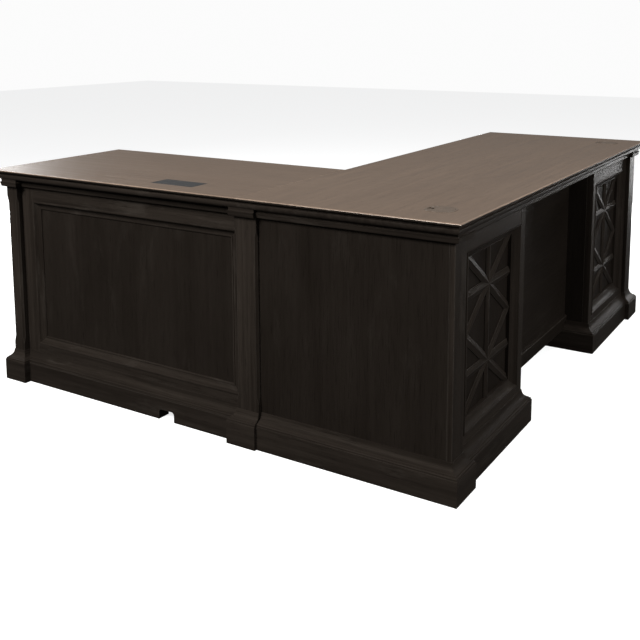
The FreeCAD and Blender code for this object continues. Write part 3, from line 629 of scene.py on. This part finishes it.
def base_profile(out):
    """The flat board under the capping moulding."""
    top = BASE_BOARD_TOP
    soft = BOARD_EDGE
    return [(0, 0), (0, out - soft), (soft, out), (top - FINE_EDGE, out), (top, out - FINE_EDGE), (top, 0)]


def desk_path():
    """Round the left pedestal's foot, starting at the back of its outer side."""
    return [(-SIDE, BODY_BACK), (-SIDE, POST_FRONT), (-POST_INNER, POST_FRONT), (-POST_INNER, BODY_FRONT),
            (-KNEE, BODY_FRONT), (-KNEE, BODY_BACK)]


def return_path():
    """Round the return's foot, from its inner side by the cabinet to the desk."""
    return [(RETURN_INNER, CABINET_START), (RETURN_FACE, CABINET_START), (RETURN_FACE, END_OUTER),
            (PROUD_FACE, END_OUTER), (PROUD_FACE, END_INNER), (RECESS_FACE, END_INNER),
            (RECESS_FACE, PILASTER_END), (PROUD_FACE, PILASTER_END), (PROUD_FACE, BODY_BACK)]


def notch_outline(y0, y1, z1, x):
    """The face of a board from the floor up, with the cord notch in its lower edge."""
    points = [(y0, 0)]
    for side in (-1, 1):
        centre = NOTCH_Y + side * (NOTCH_HALF_WIDTH - NOTCH_ROUND)
        arc = []
        for step in range(NOTCH_STEPS + 1):
            turn = math.pi / 2 * step / NOTCH_STEPS
            arc.append((centre + side * NOTCH_ROUND * math.cos(turn),
                        NOTCH_HEIGHT - NOTCH_ROUND + NOTCH_ROUND * math.sin(turn)))
        foot = [(NOTCH_Y + side * NOTCH_HALF_WIDTH, 0)]
        points += foot + arc if side < 0 else arc[::-1] + foot
    points += [(y1, 0), (y1, z1), (y0, z1)]
    return [Vector((x, y, z)) for y, z in points]


def make_plinths():
    """The right pedestal stands free, so its plinth runs all the way round it."""
    for name, mirror in (("left", False), ("right", True)):
        piece = Piece(f"base_moulding_{name}")
        piece.mirror = mirror
        for profile in (base_profile(PLINTH_OUT), cap_profile(PLINTH_OUT)):
            piece.moulding(desk_path(), profile, closed=name == "right")
        piece.place(f"plinth_{name}", "worn")
    piece = Piece("base_moulding_return")
    path = return_path()
    out = RETURN_PLINTH_OUT
    piece.moulding(path, cap_profile(out))
    notched = path.index((RECESS_FACE, END_INNER))
    piece.moulding(path[:notched + 1], base_profile(out))
    piece.moulding(path[notched + 1:], base_profile(out))
    piece.loft([notch_outline(PILASTER_END + out, END_INNER - out, BASE_BOARD_TOP, RECESS_FACE - out),
                notch_outline(PILASTER_END, END_INNER, BASE_BOARD_TOP, RECESS_FACE)], Y_AXIS, BOARD_EDGE)
    piece.place("return_plinth", "worn")


def make_crowns():
    """Crowns at the desk and the return, and the plain band between the pedestals."""
    for name, mirror in (("left", False), ("right", True)):
        piece = Piece(f"top_moulding_{name}")
        piece.mirror = mirror
        piece.moulding(desk_path()[:4], in_metres(CROWN_PROFILE))
        piece.place(f"crown_{name}", "frame")
    piece = Piece("top_moulding_return")
    piece.moulding(return_path()[2:], in_metres(CROWN_PROFILE))
    piece.place("return_crown", "frame")
    piece = Piece("visitor_band")
    piece.moulding([(-POST_INNER, BODY_FRONT), (POST_INNER, BODY_FRONT)], in_metres(BAND_PROFILE))
    piece.place("visitor_apron", "frame")


# Desk body

def panel(name, node, look="panel"):
    """One board with softened edges in a CAD node's box."""
    piece = Piece(name)
    piece.board(low(node), high(node))
    piece.place(node, look)


def make_desk_body():
    """The flat boards of both pedestals."""
    for side in ("left", "right"):
        panel(f"corner_board_{side}", f"corner_post_{side}", "frame")
        panel(f"side_board_{side}", f"desk_side_{side}")
        panel(f"knee_board_{side}", f"knee_side_{side}")
        panel(f"lattice_backing_{side}", f"visitor_board_{side}")
    panel("corner_backing", "corner_back_panel")


def sides_of(node):
    """The edges of a moulding's opening part of the way in to the lattice's window."""
    outer_low, outer_high = BOX[f"visitor_moulding_{node}"]
    inner_low, inner_high = BOX[f"lattice_{node}"]

    def sides(share):
        return (outer_low.x + (inner_low.x - outer_low.x) * share,
                outer_low.z + (inner_low.z - outer_low.z) * share,
                outer_high.x + (inner_high.x - outer_high.x) * share,
                outer_high.z + (inner_high.z - outer_high.z) * share)
    return sides


def make_visitor_frames():
    """Frames round the lattices, with a moulding inside each."""
    for side in ("left", "right"):
        lo, hi = BOX[f"visitor_frame_{side}"]
        sides = sides_of(side)
        piece = Piece(f"visitor_frame_boards_{side}")
        u0, v0, u1, v1 = sides(0)
        for x0, z0, x1, z1, along in ((lo.x, 0, u0, hi.z, Z_AXIS), (u1, 0, hi.x, hi.z, Z_AXIS),
                                      (u0, v1, u1, hi.z, X_AXIS), (u0, lo.z, u1, v0, X_AXIS)):
            piece.board((x0, BODY_FRONT, z0), (x1, FRAME_BACK, z1), along)
        piece.place(f"visitor_frame_{side}", "frame")
        piece = Piece(f"visitor_panel_moulding_{side}")
        piece.framed(sides, VISITOR_MOULDING, lambda u, v, depth: (u, BODY_FRONT + depth, v))
        piece.place(f"visitor_moulding_{side}", "worn")


def edges_at(part, y):
    """The edges between two faces that lie at a depth."""
    return [e for e in part.edges
            if len(e.link_faces) == 2 and all(abs(v.co.y - y) < FINE_EDGE for v in e.verts)]


def cut_to_window(part, window):
    """Cuts a part off at the four sides of a window and closes the cuts."""
    x0, z0, x1, z1 = window
    for point, normal in (((x0, 0, 0), (-1, 0, 0)), ((x1, 0, 0), X_AXIS),
                          ((0, 0, z0), (0, 0, -1)), ((0, 0, z1), Z_AXIS)):
        everything = list(part.verts) + list(part.edges) + list(part.faces)
        cut = bmesh.ops.bisect_plane(part, geom=everything, plane_co=point, plane_no=normal,
                                     clear_outer=True)
        rim = [e for e in cut["geom_cut"] if isinstance(e, bmesh.types.BMEdge)]
        if rim:
            bmesh.ops.contextual_create(part, geom=rim)
    bmesh.ops.recalc_face_normals(part, faces=part.faces)


def lattice_bar(piece, centre, half_length, angle, window):
    """A ridged bar through a star's centre, in its own cell of the window."""
    front, back = low("lattice_left").y, high("lattice_left").y
    edge = back - BAR_EDGE_HEIGHT
    step = Vector((math.cos(angle), 0, math.sin(angle)))
    across = Vector((-math.sin(angle), 0, math.cos(angle)))
    section = [(-BAR_HALF_WIDTH, back), (-BAR_HALF_WIDTH, edge), (0, front), (BAR_HALF_WIDTH, edge),
               (BAR_HALF_WIDTH, back)]
    rings = [[Vector((centre[0], y, centre[1])) + step * end + across * w for w, y in section]
             for end in (-half_length, half_length)]
    part = new_part(rings[0] + rings[1], [wall for _, wall in wall_faces(0, rings)] + end_faces(rings))
    bmesh.ops.recalc_face_normals(part, faces=part.faces)
    cut_to_window(part, window)
    # The ridge and the bar's edges take the edge material, with its wear and painted highlight
    lines = edges_at(part, front) + edges_at(part, edge)
    bmesh.ops.bevel(part, geom=lines, offset=RIDGE_EDGE / 2, offset_type="OFFSET",
                    segments=EDGE_SEGMENTS, profile=0.5, affect="EDGES", clamp_overlap=True,
                    material=EDGE_SLOT)
    piece.take(part, step)


def make_lattices():
    """Four bars through the middle of each cell make a star with eight arms."""
    for side in ("left", "right"):
        piece = Piece(f"lattice_bars_{side}")
        lo, hi = BOX[f"lattice_{side}"]
        cell = (hi.z - lo.z) / STARS
        reach = hi.x - lo.x
        slant = math.atan2(cell, reach)
        for star in range(STARS):
            bottom = lo.z + star * cell
            centre = ((lo.x + hi.x) / 2, bottom + cell / 2)
            window = (lo.x, bottom, hi.x, bottom + cell)
            for angle in (0, math.pi / 2, slant, -slant):
                lattice_bar(piece, centre, reach, angle, window)
        piece.place(f"lattice_{side}", "worn")


def make_modesty_panel():
    """A board with a bottom rail that fits between the plinths."""
    lo, hi = BOX["modesty_panel"]
    face = lo.y + MODESTY_RAIL_PROUD
    piece = Piece("modesty_boards")
    piece.board((lo.x, face, PLINTH_TOP), (hi.x, hi.y, hi.z), X_AXIS)
    inner = hi.x - PLINTH_OUT
    rings = []
    for y, top in ((lo.y, MODESTY_RAIL_TOP - MODESTY_RAIL_PROUD), (face + FINE_EDGE, MODESTY_RAIL_TOP)):
        rings.append([(-inner, y, lo.z), (inner, y, lo.z), (inner, y, PLINTH_TOP), (hi.x, y, PLINTH_TOP),
                      (hi.x, y, top), (lo.x, y, top), (lo.x, y, PLINTH_TOP), (-inner, y, PLINTH_TOP)])
    piece.loft(rings, X_AXIS, BOARD_EDGE)
    piece.board((-inner, face, lo.z), (inner, hi.y, PLINTH_TOP), X_AXIS)
    piece.place("modesty_panel", "panel")


# Return body

def chamfered(name, node):
    """A board whose two outer upright edges have chamfers that run out at both ends."""
    lo, hi = BOX[node]
    piece = Piece(name)
    rings = []
    z0, z1, z2, z3 = CHAMFER_HEIGHTS
    for z, size in ((0, 0), (z0, 0), (z1, STOP_CHAMFER), (z2, STOP_CHAMFER), (z3, 0), (hi.z, 0)):
        rings.append([(lo.x + size, lo.y, z), (hi.x, lo.y, z), (hi.x, hi.y, z), (lo.x + size, hi.y, z),
                      (lo.x, hi.y - size, z), (lo.x, lo.y + size, z)])
    piece.loft(rings, Z_AXIS, FINE_EDGE)
    piece.place(node, "frame")


def return_opening(share):
    """The edges of the return's back panel, part of the way across its moulding."""
    lo, hi = BOX["return_back_moulding"]
    inset = share * RETURN_MOULDING_WIDTH
    return lo.y + inset, lo.z + inset, hi.y - inset, hi.z - inset


def make_return_body():
    """The return's outer face, with its panel, and the cabinet inside."""
    chamfered("return_end_board", "return_end_panel")
    chamfered("return_pilaster_board", "return_pilaster")
    y0, z0, y1, z1 = return_opening(0)
    piece = Piece("return_frame_boards")
    piece.board((RECESS_FACE, BODY_BACK, 0), (RETURN_INNER, y0, TOP_UNDER), Z_AXIS, FINE_EDGE)
    piece.board((RECESS_FACE, y1, 0), (RETURN_INNER, END_INNER, TOP_UNDER), Z_AXIS, FINE_EDGE)
    piece.board((RECESS_FACE, y0, z1), (RETURN_INNER, y1, TOP_UNDER), Y_AXIS, FINE_EDGE)
    piece.loft([notch_outline(y0, y1, z0, RECESS_FACE), notch_outline(y0, y1, z0, RETURN_INNER)],
               Y_AXIS, FINE_EDGE)
    piece.place("return_back_frame", "frame")
    panel("return_back_veneer", "return_back_board")
    piece = Piece("return_panel_moulding")
    piece.framed(return_opening, RETURN_MOULDING, lambda u, v, depth: (RECESS_FACE + depth, u, v))
    piece.place("return_back_moulding", "worn")
    panel("cabinet_partition", "return_partition")
    make_face_frames()
    make_shelves()


def make_face_frames():
    """Stiles and rails round the door and round the drawers."""
    lo, hi = BOX["return_face_frame"]
    piece = Piece("return_face_boards")
    door_low, door_high = DOOR_OPENING
    piece.board((lo.x, lo.y, door_high), (hi.x, CABINET_START, hi.z), Y_AXIS)
    piece.board((lo.x, CABINET_START, 0), (hi.x, CABINET_START + DOOR_STILE, hi.z))
    piece.board((lo.x, hi.y - DOOR_STILE, 0), (hi.x, hi.y, hi.z))
    for z0, z1 in ((0, door_low), (door_high, hi.z)):
        piece.board((lo.x, CABINET_START + DOOR_STILE, z0), (hi.x, hi.y - DOOR_STILE, z1), Y_AXIS)
    piece.place("return_face_frame", "panel")
    lo, hi = BOX["pedestal_face_frame"]
    piece = Piece("pedestal_face_boards")
    piece.board(lo, (lo.x + FACE_STILE, hi.y, hi.z))
    piece.board((hi.x - FACE_STILE, lo.y, lo.z), hi)
    overlay = low("file_drawer_front").x - lo.x - FACE_STILE
    edges = [0]
    for name in DRAWERS:
        edges += [low(f"{name}_front").z - overlay, high(f"{name}_front").z + overlay]
    edges.append(hi.z)
    for z0, z1 in zip(edges[::2], edges[1::2]):
        piece.board((lo.x + FACE_STILE, lo.y, z0), (hi.x - FACE_STILE, hi.y, z1), X_AXIS)
    piece.place("pedestal_face_frame", "panel")


def make_shelves():
    """The cabinet's bottom and its shelf."""
    lo, hi = BOX["return_shelves"]
    piece = Piece("cabinet_shelves")
    for z in (lo.z, hi.z - SHELF_THICKNESS):
        piece.board((lo.x, lo.y, z), (hi.x, hi.y, z + SHELF_THICKNESS), Y_AXIS)
    piece.place("return_shelves", "drawer")


# Drawers and door

def moulded_front(name, node, plane_axis, body, rim):
    """A front with rounded outer edges and a field sunk inside a flat rim."""
    lo, hi = BOX[node]
    outer = (lo.x, lo.z, hi.x, hi.z) if plane_axis == "y" else (lo.y, lo.z, hi.y, hi.z)
    face = hi.y if plane_axis == "y" else hi.x
    rings = []
    slots = []
    steps = list(FRONT_PROFILE) + [(rim / MM + inset, depth) for inset, depth in FRONT_FIELD]
    edge_end = FRONT_PROFILE[-1][0] + 1
    field_start = rim / MM + FIELD_CLEARANCE
    for inset, depth in steps:
        u0, v0 = outer[0] + inset * MM, outer[1] + inset * MM
        u1, v1 = outer[2] - inset * MM, outer[3] - inset * MM
        ring = []
        for u, v in ((u0, v0), (u1, v0), (u1, v1), (u0, v1)):
            place = face + depth * MM
            ring.append((u, place, v) if plane_axis == "y" else (place, u, v))
        rings.append(ring)
    for number in range(len(rings) - 1):
        inset = steps[number + 1][0]
        # The rounded edges and the field's slope take the edge material, with its wear and painted
        # highlight
        slots.append(EDGE_SLOT if 0 < inset < edge_end or inset > field_start else FACE_SLOT)
    piece = Piece(name)
    along = X_AXIS if plane_axis == "y" else Z_AXIS
    piece.loft(rings, along, slots=slots)
    piece.place(node, "panel", body)


def bar_pull(name, node, body, outward, along):
    """A round bar with domed ends, on two posts with flared feet."""
    lo, hi = BOX[node]
    outward, along = Vector(outward), Vector(along)
    middle = (lo + hi) / 2
    face = (lo if outward.dot(Vector((1, 1, 1))) > 0 else hi).dot(outward)
    centre = middle - outward * (middle.dot(outward) - face)
    length = abs((hi - lo).dot(along))
    bar = centre + outward * PULL_REACH - along * (length / 2)
    r = PULL_BAR_RADIUS
    piece = Piece(name)
    collar = PULL_POST_INSET - 2 * r
    shape = [(distance * r, radius * r) for distance, radius in PULL_DOME]
    shape += [(collar + distance * r, radius * r) for distance, radius in PULL_COLLAR]
    shape += [(length - distance, radius) for distance, radius in reversed(shape)]
    piece.turned(shape, bar, along)
    foot = [(distance, share * PULL_POST_RADIUS) for distance, share in PULL_POST_PROFILE]
    for side in (-1, 1):
        piece.turned(foot, centre + along * side * (length / 2 - PULL_POST_INSET), outward)
    piece.place(node, "bronze", body)


def make_drawers():
    """The drawers, and the door, whose front is made as theirs are."""
    for name in (*DRAWERS, "centre_drawer"):
        rim = FRONT_FRAME_NARROW if name == "centre_drawer" else FRONT_FRAME
        moulded_front(f"{name}_face", f"{name}_front", "y", name, rim)
        piece = Piece(f"{name}_tray")
        piece.tray(*BOX[f"{name}_box"], DRAWER_WALL, DRAWER_BASE, BOARD_EDGE, FINE_EDGE)
        piece.place(f"{name}_box", "drawer", name)
        if name != "centre_drawer":
            bar_pull(f"{name}_handle", f"{name}_pull", name, Y_AXIS, X_AXIS)
    moulded_front("cabinet_door_face", "cabinet_door", "x", "cabinet_door", DOOR_FRAME)
    bar_pull("cabinet_door_handle", "cabinet_door_pull", "cabinet_door", X_AXIS, Z_AXIS)


def make_hinges():
    """Two hinges, each a fixed leaf and a row of knuckles round the pin."""
    lo, hi = BOX["door_hinges"]
    radius = (hi.y - lo.y) - LEAF_THICKNESS
    piece = Piece("cabinet_hinges")
    axis_x = hi.x - radius
    axis_y = hi.y - radius
    for bottom in (lo.z, hi.z - HINGE_LENGTH):
        piece.board((lo.x, lo.y, bottom), (axis_x, lo.y + LEAF_THICKNESS, bottom + HINGE_LENGTH),
                    edge=FINE_EDGE)
        height = HINGE_LENGTH / KNUCKLES
        for number in range(KNUCKLES):
            base = bottom + number * height
            soft = FINE_EDGE
            shape = [(0, radius - soft), (soft, radius), (height - KNUCKLE_GAP - soft, radius),
                     (height - KNUCKLE_GAP, radius - soft), (height, radius - soft * 2)]
            piece.turned(shape, (axis_x, axis_y, base), Z_AXIS)
    piece.place("door_hinges", "bronze")


# Grommets and outlet

def cap_outline(x):
    """The outline of a cap at x, with the cord slot cut into its user side."""
    start = math.asin(CAP_SLOT_HALF_WIDTH / CAP_RADIUS)
    points = []
    for i in range(GROMMET_SEGMENTS + 1):
        turn = math.pi / 2 + start + (2 * math.pi - 2 * start) * i / GROMMET_SEGMENTS
        points.append((x + CAP_RADIUS * math.cos(turn), GROMMET_Y + CAP_RADIUS * math.sin(turn)))
    return points + [(x + CAP_SLOT_HALF_WIDTH, GROMMET_Y + CAP_SLOT_START),
                     (x - CAP_SLOT_HALF_WIDTH, GROMMET_Y + CAP_SLOT_START)]


def make_grommets():
    piece = Piece("grommet_rings")
    for x in (-GROMMET_X, GROMMET_X):
        rings = [circle(x, GROMMET_Y, radius * MM, TOP + height * MM) for radius, height in LINER_PROFILE]
        piece.loft(rings, Z_AXIS, loop=True)
    piece.place("grommet_liners", "brown")
    for side, x in (("left", -GROMMET_X), ("right", GROMMET_X)):
        node = f"grommet_cap_{side}"
        lo, hi = BOX[node]
        points = cap_outline(x)
        piece = Piece(f"grommet_lid_{side}")
        plate_top = hi.z - CAP_EDGE
        rings = [[(px, py, z) for px, py in points] for z in (lo.z, plate_top)]
        piece.loft(rings, Y_AXIS, CAP_EDGE)
        disc = in_metres(CAP_DISC_PROFILE)
        piece.turned(disc, (x, GROMMET_Y, plate_top), Z_AXIS, GROMMET_SEGMENTS)
        piece.place(node, "brown", f"{side}_grommet_cap")


def make_outlet():
    """The housing's flange, walls and floor, and the ledge that the closed lid rests over."""
    lo, hi = BOX["outlet_housing"]

    def sides(inset):
        return lo.x + inset * MM, lo.y + inset * MM, hi.x - inset * MM, hi.y - inset * MM

    piece = Piece("outlet_frame")
    piece.framed(sides, FLANGE_PROFILE, lambda u, v, depth: (u, v, TOP + depth))
    outer = FLANGE_THICKNESS
    piece.tray((lo.x + outer, lo.y + outer, lo.z), (hi.x - outer, hi.y - outer, TOP - FLANGE_THICKNESS),
               OUTLET_WALL, OUTLET_WALL, THIN_EDGE, THIN_EDGE)
    inner = outer + OUTLET_WALL
    x1, y0, y1 = hi.x - inner, lo.y + inner, hi.y - inner
    stop_top = low("outlet_lid").z - LID_GAP
    piece.board((x1 - LID_STOP_WIDTH, y0, stop_top - LID_STOP_HEIGHT), (x1, y1, stop_top), edge=THIN_EDGE)
    piece.place("outlet_housing", "plastic")
    make_outlet_lid()
    make_outlet_sockets()


def rod(length, radius, soft, end_radius):
    """The profile of a round bar with softened ends."""
    return [(0, end_radius), (soft, radius), (length - soft, radius), (length, end_radius)]


def make_outlet_lid():
    """A flat lid with a round hinge edge and a pin that runs into the housing."""
    lo, hi = BOX["outlet_lid"]
    wall = FLANGE_THICKNESS + OUTLET_WALL + LID_GAP
    inner_low = low("outlet_housing").y + wall
    inner_high = high("outlet_housing").y - wall
    radius = (hi.z - lo.z) / 2
    axis = Vector((lo.x + radius, 0, lo.z + radius))
    piece = Piece("outlet_cover")
    piece.board((axis.x, inner_low, lo.z), (hi.x, inner_high, hi.z), Y_AXIS, LID_EDGE)
    length = inner_high - inner_low
    piece.turned(rod(length, radius, THIN_EDGE, radius - THIN_EDGE), (axis.x, inner_low, axis.z), Y_AXIS)
    pin = rod(hi.y - lo.y, LID_PIN_RADIUS, LID_PIN_SOFT, LID_PIN_RADIUS * LID_PIN_END)
    piece.turned(pin, (axis.x, lo.y, axis.z), Y_AXIS)
    piece.place("outlet_lid", "plastic", "outlet_lid")


def make_outlet_sockets():
    """A body with three generic socket plates."""
    lo, hi = BOX["outlet_module"]
    body_top = hi.z - PLATE_HEIGHT
    centre = (lo + hi) / 2
    piece = Piece("outlet_sockets")
    piece.board(lo, (hi.x, hi.y, body_top), Y_AXIS, FINE_EDGE)
    for step, half_length, kind in PLATE_STEPS:
        y = OUTLET_Y + step
        x0, x1 = centre.x - PLATE_HALF_WIDTH, centre.x + PLATE_HALF_WIDTH
        y0, y1 = y - half_length, y + half_length
        shape = ((0, 0), (0, PLATE_HEIGHT - PLATE_EDGE), (PLATE_EDGE, PLATE_HEIGHT),
                 (PLATE_RIM, PLATE_HEIGHT), (PLATE_RIM + PLATE_SLOPE, PLATE_HEIGHT - SLOT_DEPTH))
        rings = [rectangle(x0 + i, y0 + i, x1 - i, y1 - i, body_top + h) for i, h in shape]
        piece.loft(rings, Y_AXIS)
        floor = body_top + PLATE_HEIGHT - SLOT_DEPTH
        for bx, by, half_x, half_y in SOCKET_BLOCKS[kind]:
            piece.board((centre.x + (bx - half_x) * MM, y + (by - half_y) * MM, floor - BLOCK_SUNK),
                        (centre.x + (bx + half_x) * MM, y + (by + half_y) * MM, floor + BLOCK_PROUD),
                        edge=THIN_EDGE)
    piece.place("outlet_module", "plastic")


# Materials

class Shader:
    """A material with a short way to add and join nodes."""

    def __init__(self, name):
        self.material = bpy.data.materials.new(name)
        self.material.use_nodes = True
        self.tree = self.material.node_tree
        self.surface = self.tree.nodes["Principled BSDF"]

    def node(self, kind, inputs=None, **settings):
        made = self.tree.nodes.new(kind)
        for key, value in settings.items():
            setattr(made, key, value)
        for key, value in (inputs or {}).items():
            self.put(made.inputs[key], value)
        return made

    def put(self, socket, value):
        """Links a socket into another, or sets its value."""
        if isinstance(value, bpy.types.NodeSocket):
            self.tree.links.new(value, socket)
        else:
            socket.default_value = value

    def feed(self, key, value):
        self.put(self.surface.inputs[key], value)

    def noise(self, place, scale, detail=4.0, roughness=0.55, distortion=0.0):
        inputs = {"Vector": place, "Scale": scale, "Detail": detail, "Roughness": roughness,
                  "Distortion": distortion}
        return self.node("ShaderNodeTexNoise", inputs).outputs["Fac"]

    def grain(self, place, scale, detail, roughness=0.55, distortion=0.0):
        """Noise with its own scale along each axis."""
        stretched = self.node("ShaderNodeMapping", {"Vector": place, "Scale": scale}).outputs["Vector"]
        return self.noise(stretched, 1.0, detail, roughness, distortion)

    def ramp(self, value, inside, outside=(0.0, 1.0)):
        """Maps one range of values onto another."""
        inputs = {"Value": value, "From Min": inside[0], "From Max": inside[1], "To Min": outside[0],
                  "To Max": outside[1]}
        return self.node("ShaderNodeMapRange", inputs).outputs["Result"]

    def mix(self, share, first, second):
        made = self.node("ShaderNodeMix", data_type="RGBA", clamp_factor=True)
        self.put(made.inputs[0], share)
        for key, value in ((6, first), (7, second)):
            self.put(made.inputs[key], (*value, 1.0) if isinstance(value, tuple) else value)
        return made.outputs[2]

    def maths(self, operation, first, second):
        return self.node("ShaderNodeMath", {0: first, 1: second}, operation=operation).outputs["Value"]

    def bump(self, height, distance):
        made = self.node("ShaderNodeBump", {"Height": height, "Distance": distance, "Strength": 1.0})
        self.feed("Normal", made.outputs["Normal"])


def scaled(colour, factor):
    return tuple(channel * factor for channel in colour)


def around(middle, spread):
    return middle + spread[0], middle + spread[1]


def wood(name, dark, light, worn, wear, specular, roughness, relief, figure=FIGURE_ACROSS,
         streaks=STREAK_SHARE):
    """Stained wood with streaks along the grain, open pores, a slow figure and rubbed patches. On edge
    materials the rubbed colour also stands for a painted highlight.
    """
    made = Shader(name)
    place = made.node("ShaderNodeAttribute", attribute_name="grain").outputs["Vector"]
    streak = made.grain(place, *STREAKS)
    slow = made.grain(place, (FIGURE_ALONG, figure, figure), *FIGURE_NOISE)
    pores = made.grain(place, *PORES)
    rubbed = made.grain(place, *RUBBED)
    fibre = made.ramp(streak, STREAK_RANGE)
    figure_share = made.ramp(slow, FIGURE_RANGE)
    cloud = made.ramp(made.grain(place, *CLOUDS), FIGURE_RANGE)
    soft = made.maths("MULTIPLY", made.maths("ADD", figure_share, cloud), (1 - streaks) / 2)
    blend = made.maths("ADD", made.maths("MULTIPLY", fibre, streaks), soft)
    colour = made.mix(made.ramp(rubbed, RUBBED_RANGE, (0, wear)), made.mix(blend, dark, light), worn)
    pore = made.ramp(pores, PORE_RANGE)
    deep = made.maths("MULTIPLY", made.maths("SUBTRACT", 1.0, pore), PORE_DEPTH)
    made.feed("Base Color", made.mix(deep, colour, scaled(dark, PORE_DEPTH)))
    made.feed("Roughness", made.ramp(streak, FIGURE_RANGE, around(roughness, WOOD_ROUGHNESS_SPREAD)))
    made.feed("Specular IOR Level", specular)
    made.feed("Specular Tint", (*WARM_GLOSS, 1.0))
    height = made.maths("ADD", made.maths("MULTIPLY", pore, PORE_RELIEF),
                        made.maths("MULTIPLY", streak, STREAK_RELIEF))
    made.bump(height, relief)
    return made.material


def plastic(name, colour, roughness, specular):
    """Moulded plastic with a fine even texture and faint scuffs."""
    made = Shader(name)
    place = made.node("ShaderNodeTexCoord").outputs["Object"]
    texture = made.noise(place, PLASTIC_GRAIN, 2.0)
    scuff = made.grain(place, *SCUFFS)
    pale = tuple(channel + SCUFF_LIFT for channel in scaled(colour, SCUFF_GAIN))
    made.feed("Base Color", made.mix(made.ramp(scuff, SCUFF_RANGE, (0.0, SCUFF_SHARE)), colour, pale))
    made.feed("Roughness", made.ramp(scuff, FIGURE_RANGE, around(roughness, PLASTIC_ROUGHNESS_SPREAD)))
    made.feed("Specular IOR Level", specular)
    made.bump(texture, PLASTIC_RELIEF)
    return made.material


def metal(name, colour, roughness, spangle, streaks):
    """Plated or patinated metal with a faint mottle and brushed streaks."""
    made = Shader(name)
    place = made.node("ShaderNodeTexCoord").outputs["Object"]
    mottle = made.noise(place, spangle, 5.0, 0.6)
    brushed = made.grain(place, streaks, 4.0)
    made.feed("Base Color", made.mix(made.ramp(mottle, MOTTLE_RANGE), colour, scaled(colour, MOTTLE_DARK)))
    made.feed("Metallic", 1.0)
    made.feed("Roughness", made.ramp(brushed, FIGURE_RANGE, around(roughness, METAL_ROUGHNESS_SPREAD)))
    made.bump(brushed, METAL_RELIEF)
    return made.material


def make_looks():
    made = {}
    for table, recipe in ((WOODS, wood), (METALS, metal), (PLASTICS, plastic)):
        made.update({name: recipe(name, **settings) for name, settings in table.items()})
    return {look: (slot, [made[name] for name in names]) for look, (slot, *names) in LOOK_TABLE.items()}


def finish_cad_nodes():
    """The plain steel parts keep their CAD shape, with softened edges and plated steel."""
    for node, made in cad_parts.items():
        if made.hide_render:
            continue
        made.data.materials.clear()
        made.data.materials.append(LOOKS["zinc"][1][0])
        soft = made.modifiers.new("soft_edges", "BEVEL")
        soft.width = FINE_EDGE
        soft.segments = EDGE_SEGMENTS
        soft.limit_method = "ANGLE"
        soft.angle_limit = SHARP_ANGLE


# Stage

def area_light(name, place, target, size, power):
    data = bpy.data.lights.new(name, "AREA")
    data.shape = "RECTANGLE"
    data.size, data.size_y = size
    data.energy = power
    made = bpy.data.objects.new(name, data)
    bpy.context.scene.collection.objects.link(made)
    made.location = place
    made.rotation_euler = (Vector(target) - Vector(place)).to_track_quat("-Z", "Y").to_euler()


def make_stage():
    """A pale floor, a plain backdrop and the lights."""
    piece = bmesh.new()
    bmesh.ops.create_grid(piece, x_segments=8, y_segments=8, size=FLOOR_SIZE)
    data = bpy.data.meshes.new("floor")
    piece.to_mesh(data)
    piece.free()
    floor = bpy.data.objects.new("floor", data)
    bpy.context.scene.collection.objects.link(floor)
    shader = Shader("pale_floor")
    place = shader.node("ShaderNodeTexCoord").outputs["Object"]
    paint = shader.mix(shader.noise(place, 3.0), FLOOR_COLOUR, FLOOR_MOTTLE)
    seen = shader.node("ShaderNodeLightPath").outputs["Is Camera Ray"]
    shader.feed("Base Color", shader.mix(seen, FLOOR_BOUNCE, paint))
    shader.feed("Emission Color", shader.mix(seen, (0, 0, 0), (1, 1, 1)))
    shader.feed("Emission Strength", FLOOR_GLOW)
    shader.feed("Roughness", FLOOR_ROUGHNESS)
    shader.feed("Specular IOR Level", FLOOR_SPECULAR)
    data.materials.append(shader.material)
    world = bpy.data.worlds.new("studio")
    world.use_nodes = True
    nodes, links = world.node_tree.nodes, world.node_tree.links
    seen = nodes.new("ShaderNodeLightPath").outputs["Is Camera Ray"]
    sky = nodes.new("ShaderNodeMix")
    sky.data_type = "RGBA"
    sky.inputs[6].default_value = (*AMBIENT_COLOUR, 1.0)
    sky.inputs[7].default_value = (*BACKDROP_COLOUR, 1.0)
    links.new(seen, sky.inputs[0])
    links.new(sky.outputs[2], nodes["Background"].inputs["Color"])
    bpy.context.scene.world = world
    for light in LIGHTS:
        area_light(*light)


def make_camera():
    """The camera looks along its yaw and down by its pitch, and is turned by its roll."""
    data = bpy.data.cameras.new("camera")
    data.sensor_width = SENSOR_MM
    data.lens = LENS_MM
    data.shift_y = SHIFT_Y
    made = bpy.data.objects.new("camera", data)
    bpy.context.scene.collection.objects.link(made)
    made.matrix_world = (Matrix.Translation(CAMERA_PLACE)
                         @ Matrix.Rotation(CAMERA_YAW - math.pi / 2, 4, "Z")
                         @ Matrix.Rotation(math.pi / 2 - CAMERA_PITCH, 4, "X")
                         @ Matrix.Rotation(CAMERA_ROLL, 4, "Z"))
    bpy.context.scene.camera = made


LOOKS = make_looks()
make_stage()
make_camera()
make_tops()
make_plinths()
make_crowns()
make_desk_body()
make_visitor_frames()
make_lattices()
make_modesty_panel()
make_return_body()
make_drawers()
make_hinges()
make_grommets()
make_outlet()
finish_cad_nodes()
bpy.context.scene.view_settings.view_transform = "Standard"
